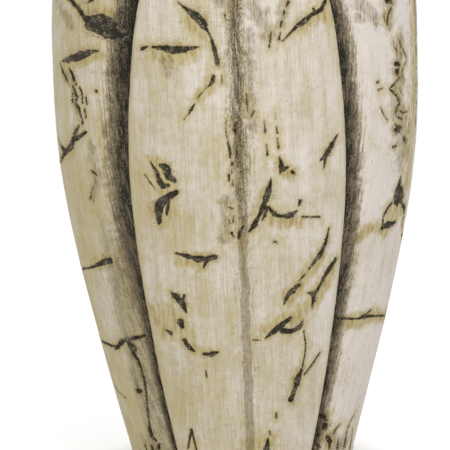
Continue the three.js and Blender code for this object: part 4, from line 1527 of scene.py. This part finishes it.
def floor_material():
    """White floor that keeps the shadow: to the camera it is as bright as the background, and its glow is
    darkened round the foot as a painted shadow.
    """
    material, tree, shader = new_material("Studio floor", 0.9)
    speckle = noise(object_place(tree), 1.5)
    feed(shader.inputs["Base Color"], mixed(speckle, srgb(226, 226, 226), srgb(230, 230, 230)))
    painted_foot_shadow = place(tree, "ShaderNodeAmbientOcclusion", {"Distance": FOOT_SHADE})
    # The glow is darkened near the foot: a painted contact shadow.
    bright = seen_directly(tree) * output(painted_foot_shadow, "AO") * FLOOR_GLOW
    glow = place(tree, "ShaderNodeEmission", {"Strength": bright})
    both = place(tree, "ShaderNodeAddShader", {0: output(glow, "Emission"), 1: output(shader, "BSDF")})
    feed(tree.nodes["Material Output"].inputs["Surface"], output(both, "Shader"))
    return material


class CACHEPOT_OT_stage(bpy.types.Operator):
    """Set the camera, the soft light and the white floor"""

    bl_idname = "cachepot.stage"
    bl_label = "Stage"

    def execute(self, context):
        scene = context.scene
        stage = scene.cachepot.stage
        camera = bpy.data.cameras.new("camera")
        camera.lens = stage.lens
        camera.sensor_width = stage.sensor
        camera.shift_x = stage.shift_x
        camera.shift_y = stage.shift_y
        camera.clip_end = VIEW_REACH
        holder = link_object("camera", camera)
        eye, turn = camera_place(stage)
        holder.location = eye
        holder.rotation_euler = turn.to_euler()
        scene.camera = holder

        area_lamp("key lamp", KEY_PLACE, stage.key_power)
        area_lamp("fill lamp", FILL_PLACE, stage.fill_power)

        world = bpy.data.worlds.new("studio")
        world.use_nodes = True
        scene.world = world
        tree = world.node_tree
        background = tree.nodes["Background"]
        background.inputs["Color"].default_value = (1, 1, 1, 1)
        feed(background.inputs["Strength"], seen_directly(tree).blend(stage.sky, 1.0))
        scene.view_settings.view_transform = "Standard"

        mesh = bpy.data.meshes.new("studio_floor")
        signs = ((-1, -1), (1, -1), (1, 1), (-1, 1))
        corners = [(x * FLOOR_REACH, y * FLOOR_REACH, 0) for x, y in signs]
        mesh.from_pydata(corners, [], [(0, 1, 2, 3)])
        mesh.materials.append(floor_material())
        link_object("studio_floor", mesh)
        return {"FINISHED"}


# Panel and registration


class CACHEPOT_PT_panel(bpy.types.Panel):
    """Lists the steps that build the cachepot"""

    bl_idname = "CACHEPOT_PT_panel"
    bl_label = "Cachepot"
    bl_space_type = "VIEW_3D"
    bl_region_type = "UI"
    bl_category = "Cachepot"

    def draw(self, context):
        settings = context.scene.cachepot
        for operator in OPERATORS:
            self.layout.operator(operator.bl_idname)
        for group_name in CachepotSettings.__annotations__:
            group = getattr(settings, group_name)
            box = self.layout.box()
            box.label(text=group_name.capitalize())
            for name in group.__annotations__:
                box.prop(group, name)


OPERATORS = (CACHEPOT_OT_petals, CACHEPOT_OT_floor, CACHEPOT_OT_fittings, CACHEPOT_OT_stage)
CLASSES = (
    OutlineSizes,
    FloorSizes,
    PetalSizes,
    CarvingSizes,
    FinishColours,
    StageSettings,
    CachepotSettings,
    *OPERATORS,
    CACHEPOT_PT_panel,
)


def register():
    for item in CLASSES:
        bpy.utils.register_class(item)
    bpy.types.Scene.cachepot = bpy.props.PointerProperty(type=CachepotSettings)


def unregister():
    del bpy.types.Scene.cachepot
    for item in reversed(CLASSES):
        bpy.utils.unregister_class(item)


def main():
    register()
    bpy.ops.cachepot.petals()
    bpy.ops.cachepot.floor()
    bpy.ops.cachepot.fittings()
    bpy.ops.cachepot.stage()


if __name__ == "__main__":
    main()
